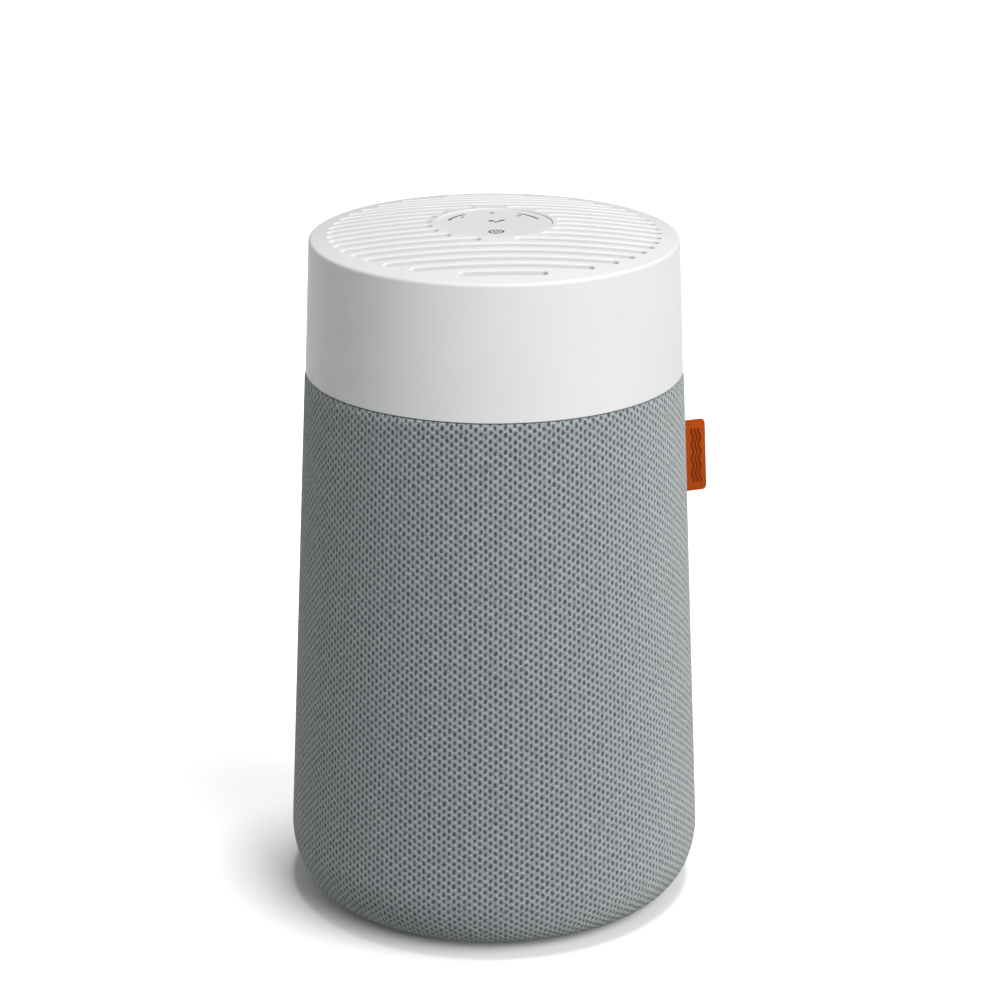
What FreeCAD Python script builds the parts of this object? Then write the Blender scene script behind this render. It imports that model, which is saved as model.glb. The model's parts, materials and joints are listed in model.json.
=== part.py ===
import FreeCAD, Part
import math
import os

# A tabletop air purifier. Air enters through the fabric sleeve all round the tower, crosses the
# cylindrical filter, is drawn up by the fan and leaves through the slots in the domed cap.
# The origin is the centre of the footprint on the floor, +Z is up and the front faces -Y.
# A name that ends in Z is a height above the floor. A screw ring is a circle's radius, the
# number of screws on it and the first one's angle.

# Outside form of the tower, measured on the fabric
BODY_RADIUS = 140.0
CORNER_TOP_Z = 41.2
CORNER_WIDTH = 21.8
SLEEVE_BOTTOM_Z = 3.0
SLEEVE_TOP_Z = 363.6
SLEEVE_TOP_RADIUS = 125.1
SLEEVE_THICKNESS = 2.2
SLEEVE_HEM_INNER_RADIUS = 116.0

# Bands in the sleeve's two hems
BAND_GAP = 0.2
BAND_DROP = 0.4
TOP_BAND_HEIGHT = 8.0
TOP_BAND_THICKNESS = 1.2
BOTTOM_BAND_WIDTH = 1.4
BOTTOM_BAND_HEIGHT = 1.2

# White cap
CAP_BOTTOM_Z = 364.2
CAP_BOTTOM_RADIUS = 124.5
RIM_Z = 452.6
RIM_RADIUS = 120.8
RIM_EDGE_RADIUS = 2.2
DOME_RISE = 10.5
CAP_WALL = 2.6
GRILLE_DEPTH = 5.0
GRILLE_RADIUS = 109.5

# Outlet slots, all parallel to X
SLOT_COUNT = 18
SLOT_PITCH = 12.05
SLOT_WIDTH = 6.5
SLOT_END_CIRCLE = 105.2
SLOT_EDGE_RADIUS = 1.0
PANEL_RING_OUTER = 41.3

# Control panel
PANEL_RADIUS = 37.9
PANEL_HOLE_RADIUS = 38.1
PANEL_TOP_Z = 461.3
PANEL_LOW_Z = PANEL_TOP_Z - 2.0
PANEL_EDGE_RADIUS = 0.25
PANEL_MOUTH_LOW_Z = 447.0
GUIDE_RADIUS = 30.6
GUIDE_WIDTH = 1.7
LEFT_GUIDE_DEG = (127.0, 162.0)
RIGHT_GUIDE_DEG = (20.0, 54.0)
LENSES = ((0.0, 28.0, 1.5), (-1.6, 6.2, 2.0), (5.6, 7.4, 1.5))
BOARD_Z = 452.5
BOARD_THICKNESS = 1.6
BOARD_TOP_Z = BOARD_Z + BOARD_THICKNESS
LIGHT_LOW_Z = BOARD_TOP_Z + 1.8

# Power key
KEY_CENTRE_Y = -22.7
KEY_RADIUS = 5.3
KEY_HOLE_RADIUS = 5.6
KEY_TRAVEL = 0.9
FLANGE_LOW_Z = PANEL_LOW_Z - 1.4
SWITCH_TOP_Z = BOARD_TOP_Z + 1.5

# Side tag
TAG_LEAN_DEG = 18.0
TAG_PROUD = 14.8
TAG_THICKNESS = 1.8
TAG_LOW_Z = 274.6
TAG_HIGH_Z = 324.6
TAG_CORNER_RADIUS = 3.0

# Tower frame under the fabric
FRAME_SETBACK = 2.5
FRAME_WALL = 3.0
WINDOW_COLUMNS = 18
WINDOW_WIDTH = 36.0
WINDOW_ROWS_Z = ((60.0, 130.0), (142.0, 212.0), (224.0, 294.0))
DECK_Z = 307.0
DECK_FLANGE_INNER = 105.0
TOP_FLANGE_Z = 352.0
TOP_FLANGE_INNER = 104.0
NECK_RADIUS = 120.9
NECK_TOP_Z = 378.0

# Base cover and its bayonet
BASE_RADIUS = 111.0
BASE_LOW_Z = 2.0
BASE_PLATE = 3.0
BASE_EDGE_RADIUS = 1.2
COLLAR_RADIUS = 112.0
LUG_COUNT = 4
LUG_HALF_DEG = 7.0
LUG_TRAVEL_DEG = 20.0
LEDGE_LOW_Z = 12.5
LEDGE_HIGH_Z = 16.2
LUG_HIGH_Z = 20.6
DISH_RADIUS = 48.0
DISH_ROOF_Z = 14.0
FOOT_RADIUS = 9.0
FOOT_RING = (90.0, 4, 45.0)
FOOT_INSET = 0.6
FOOT_EDGE_RADIUS = 0.7

# Filter cartridge
FILTER_RADIUS = 104.0
FILTER_LOW_Z = 8.6
FILTER_HIGH_Z = 300.0
END_PLATE = 6.0
LIP_WALL = 1.5
LIP_REACH = 14.0
PLEATS = 72
MEDIA_RADIUS = 102.0
CARBON_RADIUS = 78.0
RECESS_RADIUS = 56.0
RECESS_ROOF_Z = 18.0

# Fan
HOUSING_RADIUS = 96.0
IMPELLER_RADIUS = 84.0
IMPELLER_BLADES = 9
SHROUD_RIM_Z = 350.0
HUB_LOW_Z = 343.5
HUB_EYE_RADIUS = 30.5
HUB_RIM_Z = 379.0
STATOR_VANES = 11
DIFFUSER_LOW_Z = 390.1
CORE_RADIUS = 45.0
CORE_FLOOR_Z = 388.5

# Motor
SHAFT_RADIUS = 3.0
SHAFT_CLEARANCE = 0.03
SHAFT_LOW_Z = 330.0
TUBE_LOW_Z = 350.0
MOTOR_PLATE_Z = 382.0
BEARING_RADIUS = 7.45
STATOR_LOW_Z = 356.0
STATOR_HIGH_Z = 374.0
STATOR_RADIUS = 22.5
STATOR_TEETH = 9
CAN_RADIUS = 27.8
CAN_LOW_Z = 346.5
CAN_HIGH_Z = 378.0
BOSS_RADIUS = 8.0
MAGNET_COUNT = 12
MAGNET_INNER_RADIUS = 23.3

# Mains inlet, power board and wiring
MAINS_Z = 404.5
INLET_FACE_Y = 122.3
INLET_REAR_Y = 104.5
PIN_RADIUS = 1.2
PIN_X = 4.3
LEAD_START_Y = 36.0
MOTOR_LEAD_X = 20.0
MOTOR_LEAD_RADIUS = 1.6
POWER_BOARD_Z = 400.4
POWER_BOARD_TOP = POWER_BOARD_Z + BOARD_THICKNESS
VENT_DEG = 150.0

# Screws
BELLMOUTH_SCREW_RING = (113.5, 6, 30.0)
HOUSING_SCREW_RING = (102.0, 4, 0.0)
SHELL_SCREW_RING = (112.5, 4, 45.0)
MOTOR_SCREW_RING = (27.0, 4, 45.0)
BOARD_SCREW_RING = (37.0, 3, 30.0)
SCREW_SHANK = 1.75
SCREW_HEAD = 3.5
SCREW_HOLE = 1.9
SMALL_SHANK = 1.5
SMALL_HEAD = 3.0
SMALL_SCREW_HOLE = 1.6
PILOT_HOLE = 1.25

UP = FreeCAD.Vector(0, 0, 1)
ORIGIN = FreeCAD.Vector(0, 0, 0)
Y_AXIS = FreeCAD.Vector(0, 1, 0)


def point(radius, z):
    return FreeCAD.Vector(radius, 0, z)


def disc(radius, low, high, x=0.0, y=0.0):
    return Part.makeCylinder(radius, high - low, FreeCAD.Vector(x, y, low), UP)


def ring(outer, inner, low, high, x=0.0, y=0.0):
    return disc(outer, low, high, x, y).cut(disc(inner, low - 1, high + 1, x, y))


def block(x_range, y_range, z_range):
    size = [limits[1] - limits[0] for limits in (x_range, y_range, z_range)]
    corner = FreeCAD.Vector(x_range[0], y_range[0], z_range[0])
    return Part.makeBox(size[0], size[1], size[2], corner)


def turned(shape, degrees):
    copy = shape.copy()
    copy.rotate(ORIGIN, UP, degrees)
    return copy


def around(shape, count, start=0.0):
    return [turned(shape, start + index * 360.0 / count) for index in range(count)]


def ring_sector(outer, inner, low, high, start_deg, end_deg):
    wedge = Part.makeCylinder(outer, high - low, FreeCAD.Vector(0, 0, low), UP, end_deg - start_deg)
    return turned(wedge.cut(disc(inner, low - 1, high + 1)), start_deg)


def merge(shapes):
    return shapes[0].multiFuse(shapes[1:]).removeSplitter()


def cut_all(shape, tools):
    return shape.cut(Part.makeCompound(tools))


def line(start, end):
    return Part.makeLine(point(*start), point(*end))


def arc(start, middle, end):
    return Part.Arc(point(*start), point(*middle), point(*end)).toShape()


def revolve(edges):
    face = Part.Face(Part.Wire(Part.__sortEdges__(edges)))
    return face.revolve(ORIGIN, UP, 360.0)


def revolve_outline(points):
    closed = points + [points[0]]
    return revolve([line(closed[i], closed[i + 1]) for i in range(len(points))])


def export(name, shape):
    if isinstance(shape, list):
        shape = Part.makeCompound(shape)
    shape.exportStep(os.path.join("parts", name + ".step"))


def body_radius_at(z):
    slope = (BODY_RADIUS - SLEEVE_TOP_RADIUS) / (SLEEVE_TOP_Z - CORNER_TOP_Z)
    return BODY_RADIUS - slope * (z - CORNER_TOP_Z)


def corner_arc(inset):
    """Quarter ellipse of the rounded bottom edge, moved inwards by inset."""
    centre = point(BODY_RADIUS - CORNER_WIDTH, CORNER_TOP_Z)
    width = CORNER_WIDTH - inset
    height = CORNER_TOP_Z - SLEEVE_BOTTOM_Z - inset
    low = centre + FreeCAD.Vector(0, 0, -height)
    side = centre + FreeCAD.Vector(width, 0, 0)
    ellipse = Part.Ellipse(low, side, centre)
    first = ellipse.parameter(low)
    last = ellipse.parameter(side)
    if last < first:
        last += 2 * math.pi
    return Part.ArcOfEllipse(ellipse, first, last).toShape()


def tower_shell(outset, inset, inner_radius, top_z):
    """Wall that follows the tower's outline, between two insets from the fabric's face."""
    corner_centre = BODY_RADIUS - CORNER_WIDTH
    outer_low = (corner_centre, SLEEVE_BOTTOM_Z + outset)
    inner_low = (corner_centre, SLEEVE_BOTTOM_Z + inset)
    outer_side = (BODY_RADIUS - outset, CORNER_TOP_Z)
    inner_side = (BODY_RADIUS - inset, CORNER_TOP_Z)
    outer_top = (body_radius_at(top_z) - outset, top_z)
    inner_top = (body_radius_at(top_z) - inset, top_z)
    edges = [
        line((inner_radius, outer_low[1]), outer_low),
        corner_arc(outset),
        line(outer_side, outer_top),
        line(outer_top, inner_top),
        line(inner_top, inner_side),
        corner_arc(inset),
        line(inner_low, (inner_radius, inner_low[1])),
        line((inner_radius, inner_low[1]), (inner_radius, outer_low[1])),
    ]
    return revolve(edges)


def dome_z(radius):
    sphere = (RIM_RADIUS ** 2 + DOME_RISE ** 2) / (2 * DOME_RISE)
    return RIM_Z + DOME_RISE - sphere + math.sqrt(sphere ** 2 - radius ** 2)


def dome_arc(inner, outer, drop):
    middle = (inner + outer) / 2
    return arc((inner, dome_z(inner) - drop), (middle, dome_z(middle) - drop), (outer, dome_z(outer) - drop))


def cap_radius_at(z):
    slope = (CAP_BOTTOM_RADIUS - RIM_RADIUS) / (RIM_Z - CAP_BOTTOM_Z)
    return CAP_BOTTOM_RADIUS - slope * (z - CAP_BOTTOM_Z)


def screw(x, y, low, high, head_on_top, shank, head):
    """Pan-head screw along Z with a cross recess in its head."""
    head_height, recess_depth, recess_half = 2.0, 1.1, 0.4
    head_low = high - head_height if head_on_top else low
    shank_low = low if head_on_top else low + head_height
    shank_high = high - head_height if head_on_top else high
    body = merge([
        disc(head, head_low, head_low + head_height, x, y),
        disc(shank, shank_low, shank_high, x, y),
    ])
    recess_low = high - recess_depth if head_on_top else low
    recess_z = (recess_low, recess_low + recess_depth)
    arm = head * 0.6
    slots = [
        block((x - arm, x + arm), (y - recess_half, y + recess_half), recess_z),
        block((x - recess_half, x + recess_half), (y - arm, y + arm), recess_z),
    ]
    return cut_all(body, slots)


def ring_of_screws(screw_ring, low, high, head_on_top, shank=SCREW_SHANK, head=SCREW_HEAD):
    circle, count, start = screw_ring
    return around(screw(circle, 0, low, high, head_on_top, shank, head), count, start)


def ring_of_holes(screw_ring, low, high, hole):
    circle, count, start = screw_ring
    return around(disc(hole, low, high, circle, 0), count, start)


# ---------------------------------------------------------------- fabric sleeve and tag

def leaned_back(shape):
    """Turns the tag or its slit towards the rear, about the upright line where the tag is sewn in."""
    root = FreeCAD.Vector(body_radius_at((TAG_LOW_Z + TAG_HIGH_Z) / 2), 0, 0)
    copy = shape.copy()
    copy.rotate(root, UP, TAG_LEAN_DEG)
    return copy


def make_side_tag():
    """Flat tag standing out of the sleeve, its outer edge parallel to the tower's side."""
    inset = SLEEVE_THICKNESS - 0.1
    near_y = -TAG_THICKNESS / 2
    corners = []
    outline = ((TAG_LOW_Z, -inset), (TAG_LOW_Z, TAG_PROUD), (TAG_HIGH_Z, TAG_PROUD), (TAG_HIGH_Z, -inset))
    for z, offset in outline:
        corners.append(FreeCAD.Vector(body_radius_at(z) + offset, near_y, z))
    tag = Part.Face(Part.makePolygon(corners + [corners[0]])).extrude(Y_AXIS * TAG_THICKNESS)
    outer = [e for e in tag.Edges if e.BoundBox.YLength > TAG_THICKNESS / 2 and
             e.BoundBox.ZLength < 0.01 and e.BoundBox.XMin > BODY_RADIUS]
    return leaned_back(tag.makeFillet(TAG_CORNER_RADIUS, outer))


def make_fabric_sleeve():
    """Cloth tube turned in under the tower, with a slit where the tag passes through it."""
    sleeve = tower_shell(0.0, SLEEVE_THICKNESS, SLEEVE_HEM_INNER_RADIUS, SLEEVE_TOP_Z)
    gap = 0.05
    half = TAG_THICKNESS / 2 + gap
    slit = block((BODY_RADIUS - 30, BODY_RADIUS + 5), (-half, half), (TAG_LOW_Z - gap, TAG_HIGH_Z + gap))
    return sleeve.cut(leaned_back(slit))


def make_sleeve_top_band():
    high = SLEEVE_TOP_Z - BAND_DROP
    low = high - TOP_BAND_HEIGHT
    outer = SLEEVE_THICKNESS + BAND_GAP
    inner = outer + TOP_BAND_THICKNESS
    return revolve_outline([
        (body_radius_at(low) - inner, low),
        (body_radius_at(low) - outer, low),
        (body_radius_at(high) - outer, high),
        (body_radius_at(high) - inner, high),
    ])


def make_sleeve_bottom_band():
    low = SLEEVE_BOTTOM_Z + SLEEVE_THICKNESS + 0.1
    inner = SLEEVE_HEM_INNER_RADIUS + BAND_GAP
    return ring(inner + BOTTOM_BAND_WIDTH, inner, low, low + BOTTOM_BAND_HEIGHT)


# ---------------------------------------------------------------- tower frame

def frame_collar():
    """Bayonet collar: a short wall with one ledge and two stops for each lug of the base cover."""
    collar_thickness, collar_high = 3.0, 30.0
    stop_width_deg, stop_gap_deg = 2.7, 0.3
    root = COLLAR_RADIUS + 0.5
    ledge_inner = BASE_RADIUS - 2.2
    collar_low = SLEEVE_BOTTOM_Z + FRAME_SETBACK
    parts = [ring(COLLAR_RADIUS + collar_thickness, COLLAR_RADIUS, collar_low, collar_high)]
    for index in range(LUG_COUNT):
        middle = index * 360.0 / LUG_COUNT
        parts.append(ring_sector(root, ledge_inner, LEDGE_LOW_Z, LEDGE_HIGH_Z,
                                 middle - LUG_HALF_DEG - 1, middle + LUG_HALF_DEG + 1))
        locked_edge = middle + LUG_HALF_DEG + stop_gap_deg
        open_edge = middle - LUG_HALF_DEG - LUG_TRAVEL_DEG - stop_gap_deg
        for start in (locked_edge, open_edge - stop_width_deg):
            parts.append(ring_sector(root, ledge_inner, LEDGE_LOW_Z, LUG_HIGH_Z + 0.4,
                                     start, start + stop_width_deg))
    return parts


def frame_windows():
    cutters = []
    half = WINDOW_WIDTH / 2
    for low, high in WINDOW_ROWS_Z:
        window = block((COLLAR_RADIUS - 12, BODY_RADIUS + 10), (-half, half), (low, high))
        cutters += around(window, WINDOW_COLUMNS, 180.0 / WINDOW_COLUMNS)
    return cutters


def make_tower_frame():
    """Cage under the fabric: wall with air windows, two inner flanges, a neck and the collar."""
    inset = FRAME_SETBACK + FRAME_WALL
    band_space = 0.4
    wall = tower_shell(FRAME_SETBACK, inset, COLLAR_RADIUS, SLEEVE_TOP_Z - BAND_DROP)
    wall = cut_all(wall, frame_windows())
    deck_flange = ring(body_radius_at(DECK_Z) - inset + 1, DECK_FLANGE_INNER, DECK_Z - FRAME_WALL, DECK_Z)
    flange_top = TOP_FLANGE_Z + FRAME_WALL
    top_flange = ring(NECK_RADIUS - 1.9, TOP_FLANGE_INNER, TOP_FLANGE_Z, flange_top)
    neck = ring(NECK_RADIUS, NECK_RADIUS - 2.7, TOP_FLANGE_Z, NECK_TOP_Z)
    frame = merge([wall, deck_flange, top_flange, neck] + frame_collar())
    groove_radius = body_radius_at(SLEEVE_TOP_Z) - SLEEVE_THICKNESS - BAND_GAP - TOP_BAND_THICKNESS - 0.3
    groove_low = SLEEVE_TOP_Z - BAND_DROP - TOP_BAND_HEIGHT - band_space
    top_groove = ring(BODY_RADIUS, groove_radius, groove_low, SLEEVE_TOP_Z)
    bottom_low = SLEEVE_BOTTOM_Z + SLEEVE_THICKNESS - 0.2
    bottom_groove = ring(SLEEVE_HEM_INNER_RADIUS + BOTTOM_BAND_WIDTH + band_space, SLEEVE_HEM_INNER_RADIUS,
                         bottom_low, bottom_low + BOTTOM_BAND_HEIGHT + 0.5)
    holes = ring_of_holes(BELLMOUTH_SCREW_RING, DECK_Z - 4, DECK_Z + 1, SCREW_HOLE)
    holes += ring_of_holes(SHELL_SCREW_RING, TOP_FLANGE_Z - 1, flange_top + 1, SCREW_HOLE)
    return cut_all(frame, [top_groove, bottom_groove] + holes)


# ---------------------------------------------------------------- base cover

def grip_bar():
    """Bar left standing across the round dish, for finger and thumb."""
    half_width, edge_radius = 6.0, 2.0
    bar = block((-DISH_RADIUS - 1, DISH_RADIUS + 1), (-half_width, half_width),
                (BASE_LOW_Z + 0.8, DISH_ROOF_Z + 1))
    long_edges = [e for e in bar.Edges if e.BoundBox.ZMax < BASE_LOW_Z + 1 and
                  e.BoundBox.XLength > DISH_RADIUS]
    return bar.makeFillet(edge_radius, long_edges)


def make_base_cover():
    """Round cover with a gripping dish, a skirt with bayonet lugs, a filter seat and ribs."""
    plate_top = BASE_LOW_Z + BASE_PLATE
    wall = 2.0
    skirt_outer, skirt_wall, skirt_high = BASE_RADIUS - 2.5, 2.5, 24.0
    seat_radius, seat_wall = 99.5, 3.0
    rib_half, rib_high, rib_count = 1.0, 8.0, 8
    plate = ring(BASE_RADIUS, DISH_RADIUS, BASE_LOW_Z, plate_top)
    dish_wall = ring(DISH_RADIUS + wall, DISH_RADIUS, BASE_LOW_Z, DISH_ROOF_Z + wall)
    dish_roof = disc(DISH_RADIUS + 1, DISH_ROOF_Z, DISH_ROOF_Z + wall)
    skirt = ring(skirt_outer, skirt_outer - skirt_wall, plate_top - 1, skirt_high)
    seat = ring(seat_radius + seat_wall, seat_radius, plate_top - 1, FILTER_LOW_Z - 0.1)
    lug = ring_sector(BASE_RADIUS + 0.2, BASE_RADIUS - 3.5, LEDGE_HIGH_Z + 0.4, LUG_HIGH_Z,
                      -LUG_HALF_DEG, LUG_HALF_DEG)
    rib = block((DISH_RADIUS + 1, seat_radius + 0.5), (-rib_half, rib_half), (plate_top - 1, rib_high))
    ribs = around(rib, rib_count, 180.0 / rib_count)
    cover = merge([plate, dish_wall, dish_roof, grip_bar(), skirt, seat] + around(lug, LUG_COUNT) + ribs)
    pockets = ring_of_holes(FOOT_RING, BASE_LOW_Z - 1, BASE_LOW_Z + FOOT_INSET, FOOT_RADIUS + 0.1)
    cover = cut_all(cover, pockets)
    rim = [e for e in cover.Edges if abs(e.BoundBox.ZMax - BASE_LOW_Z) < 0.01 and
           abs(e.BoundBox.ZMin - BASE_LOW_Z) < 0.01 and e.BoundBox.XLength > 2 * BASE_RADIUS - 1]
    return cover.makeFillet(BASE_EDGE_RADIUS, rim)


def make_rubber_feet():
    circle, count, start = FOOT_RING
    foot = disc(FOOT_RADIUS, 0, BASE_LOW_Z + FOOT_INSET, circle, 0)
    rim = [e for e in foot.Edges if e.BoundBox.ZMax < 0.01]
    return around(foot.makeFillet(FOOT_EDGE_RADIUS, rim), count, start)


# ---------------------------------------------------------------- filter cartridge

def pleated_outline(peak, valley, z):
    points = []
    for index in range(2 * PLEATS):
        angle = math.pi * index / PLEATS
        radius = peak if index % 2 == 0 else valley
        points.append(FreeCAD.Vector(radius * math.cos(angle), radius * math.sin(angle), z))
    return Part.Face(Part.makePolygon(points + [points[0]]))


def make_filter_media():
    depth, thickness = 16.0, 6.0
    low, high = FILTER_LOW_Z + END_PLATE, FILTER_HIGH_Z - END_PLATE
    outer = pleated_outline(MEDIA_RADIUS, MEDIA_RADIUS - depth, low).extrude(UP * (high - low))
    inner = pleated_outline(MEDIA_RADIUS - thickness, MEDIA_RADIUS - depth - thickness, low - 1)
    return outer.cut(inner.extrude(UP * (high - low + 2)))


def make_carbon_layer():
    return ring(CARBON_RADIUS, CARBON_RADIUS - 3, FILTER_LOW_Z + END_PLATE, FILTER_HIGH_Z - END_PLATE)


def make_filter_core():
    """Stiff tube with six rows of twelve windows."""
    low, high = FILTER_LOW_Z + END_PLATE, FILTER_HIGH_Z - END_PLATE
    rows, columns, bar, window_half = 6, 12, 4.0, 13.0
    outer, wall = CARBON_RADIUS - 3.2, 2.0
    step = (high - low - bar) / rows
    cutters = []
    for row in range(rows):
        window = block((outer - 15, outer + 5), (-window_half, window_half),
                       (low + bar + row * step, low + (row + 1) * step))
        cutters += around(window, columns)
    return cut_all(ring(outer, outer - wall, low, high), cutters)


def make_filter_top_ring():
    eye = 70.0
    base = ring(FILTER_RADIUS, eye, FILTER_HIGH_Z - END_PLATE, FILTER_HIGH_Z)
    lip = ring(FILTER_RADIUS, FILTER_RADIUS - LIP_WALL, FILTER_HIGH_Z - LIP_REACH, FILTER_HIGH_Z - 5)
    return merge([base, lip])


def make_filter_bottom_cap():
    """Closed end of the cartridge, raised in the middle to clear the base cover's dish."""
    wall = 2.0
    base = ring(FILTER_RADIUS, RECESS_RADIUS, FILTER_LOW_Z, FILTER_LOW_Z + END_PLATE)
    lip = ring(FILTER_RADIUS, FILTER_RADIUS - LIP_WALL, FILTER_LOW_Z + 5, FILTER_LOW_Z + LIP_REACH)
    riser = ring(RECESS_RADIUS + wall, RECESS_RADIUS, FILTER_LOW_Z + 5, RECESS_ROOF_Z + wall)
    lid = disc(RECESS_RADIUS + 1, RECESS_ROOF_Z, RECESS_ROOF_Z + wall)
    return merge([base, lip, riser, lid])


def make_filter_gasket():
    return ring(97, 88, FILTER_HIGH_Z, DECK_Z - 0.1)


def make_filter_pull_tab():
    """Webbing strap across the recess under the cartridge, with a pad at each end."""
    half_length, half_width, pad_length = 50.0, 9.0, 7.0
    strip = block((-half_length, half_length), (-half_width, half_width),
                  (RECESS_ROOF_Z - 1.3, RECESS_ROOF_Z - 0.6))
    pad = block((half_length - pad_length, half_length), (-half_width, half_width),
                (RECESS_ROOF_Z - 1.0, RECESS_ROOF_Z))
    return merge([strip] + around(pad, 2))


# ---------------------------------------------------------------- fan

def make_inlet_bellmouth():
    """Flared inlet whose throat reaches into the fan's shroud."""
    thickness = 2.5
    plate_top = DECK_Z + thickness
    plate_radius, flare_start, throat = 120.0, 68.0, 52.0
    flare_top, throat_top = 323.0, 328.0
    outer = throat + thickness
    edges = [
        line((plate_radius, DECK_Z), (flare_start, DECK_Z)),
        arc((flare_start, DECK_Z), (56.69, 311.69), (throat, flare_top)),
        line((throat, flare_top), (throat, throat_top)),
        line((throat, throat_top), (outer, throat_top)),
        line((outer, throat_top), (outer, flare_top)),
        arc((outer, flare_top), (58.45, 313.45), (flare_start, plate_top)),
        line((flare_start, plate_top), (plate_radius, plate_top)),
        line((plate_radius, plate_top), (plate_radius, DECK_Z)),
    ]
    holes = ring_of_holes(BELLMOUTH_SCREW_RING, DECK_Z - 1, plate_top + 1, SCREW_HOLE)
    holes += ring_of_holes(HOUSING_SCREW_RING, DECK_Z - 1, plate_top + 1, SMALL_SCREW_HOLE)
    return cut_all(revolve(edges), holes)


def fan_blade(inner, outer, lean_deg, low, high, spread_deg):
    """Blade between two radii: two equal arcs, one turned a little from the other."""
    middle = (inner + outer) / 2

    def on_blade(radius, extra):
        angle = math.radians(extra - lean_deg * (radius - inner) / (outer - inner))
        return FreeCAD.Vector(radius * math.cos(angle), radius * math.sin(angle), low)

    sides = [[on_blade(radius, extra) for radius in (inner, middle, outer)] for extra in (0, spread_deg)]
    edges = [
        Part.Arc(sides[0][0], sides[0][1], sides[0][2]).toShape(),
        Part.makeLine(sides[0][2], sides[1][2]),
        Part.Arc(sides[1][2], sides[1][1], sides[1][0]).toShape(),
        Part.makeLine(sides[1][0], sides[0][0]),
    ]
    return Part.Face(Part.Wire(edges)).extrude(UP * (high - low))


def impeller_channel():
    """Space swept by the blades, running from mid-thickness of the shroud to that of the hub."""
    shroud_rim, hub_rim = (IMPELLER_RADIUS, SHROUD_RIM_Z + 1.2), (IMPELLER_RADIUS, HUB_RIM_Z + 1)
    shroud_eye, hub_eye = (57.0, 330.0), (HUB_EYE_RADIUS - 1, HUB_LOW_Z + 2.5)
    return revolve([
        arc(shroud_eye, (62.5, 341.5), shroud_rim),
        line(shroud_rim, hub_rim),
        arc(hub_rim, (46, 372), hub_eye),
        line(hub_eye, shroud_eye),
    ])


def make_fan_impeller():
    """Mixed-flow wheel: a shroud round the inlet throat, a bowl-shaped hub and leaning blades."""
    eye_low, eye_outer, eye_wall, rim_wall = 325.0, 58.0, 2.0, 2.4
    shroud_high = SHROUD_RIM_Z + rim_wall
    shroud = revolve([
        arc((eye_outer, eye_low), (63.8, 340.3), (IMPELLER_RADIUS, SHROUD_RIM_Z)),
        line((IMPELLER_RADIUS, SHROUD_RIM_Z), (IMPELLER_RADIUS, shroud_high)),
        arc((IMPELLER_RADIUS, shroud_high), (61.6, 342.2), (eye_outer - eye_wall, eye_low)),
        line((eye_outer - eye_wall, eye_low), (eye_outer, eye_low)),
    ])
    wall_low, wall_top = HUB_EYE_RADIUS, HUB_LOW_Z + 2.5
    bore = BOSS_RADIUS + 0.3
    hub = revolve([
        line((bore, HUB_LOW_Z), (wall_low, HUB_LOW_Z)),
        line((wall_low, HUB_LOW_Z), (wall_low, wall_top)),
        arc((wall_low, wall_top), (46.6, 371.2), (IMPELLER_RADIUS, HUB_RIM_Z)),
        line((IMPELLER_RADIUS, HUB_RIM_Z), (IMPELLER_RADIUS, HUB_RIM_Z + 2)),
        arc((IMPELLER_RADIUS, HUB_RIM_Z + 2), (45.2, 373), (wall_low - 2, wall_top)),
        line((wall_low - 2, wall_top), (bore, wall_top)),
        line((bore, wall_top), (bore, HUB_LOW_Z)),
    ])
    lean_deg, spread_deg = 42.0, 2.2
    blade = fan_blade(HUB_EYE_RADIUS + 2.5, IMPELLER_RADIUS + 2, lean_deg,
                      eye_low - 5, HUB_RIM_Z + 11, spread_deg)
    blades = Part.makeCompound(around(blade, IMPELLER_BLADES)).common(impeller_channel())
    return merge([shroud, hub] + blades.Solids)


def make_fan_housing():
    """Duct round the fan that flares out to the cap, with a ledge that carries the diffuser."""
    inner = HOUSING_RADIUS
    low = DECK_Z + 2.5
    flange, flange_width, wall, lip_width = 3.0, 10.0, 2.5, 2.5
    flare_low, flare_high, top = 418.0, 440.0, 446.0
    mouth = 110.0
    shell = revolve_outline([
        (inner, low),
        (inner + flange_width, low),
        (inner + flange_width, low + flange),
        (inner + wall, low + flange),
        (inner + wall, flare_low),
        (mouth + wall, flare_high),
        (mouth + wall, top),
        (mouth, top),
        (mouth, flare_high + 0.9),
        (inner, flare_low + 1),
        (inner, DIFFUSER_LOW_Z - 0.1),
        (inner - lip_width, DIFFUSER_LOW_Z - 0.1),
        (inner - lip_width, DIFFUSER_LOW_Z - 2.1),
        (inner, DIFFUSER_LOW_Z - 4.1),
    ])
    lead_hole = block((-5, 5), (inner - 4, inner + 6), (MAINS_Z - 3, MAINS_Z + 3))
    holes = ring_of_holes(HOUSING_SCREW_RING, low - 1, low + flange + 1, SMALL_SCREW_HOLE)
    return cut_all(shell, [lead_hole] + holes)


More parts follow.
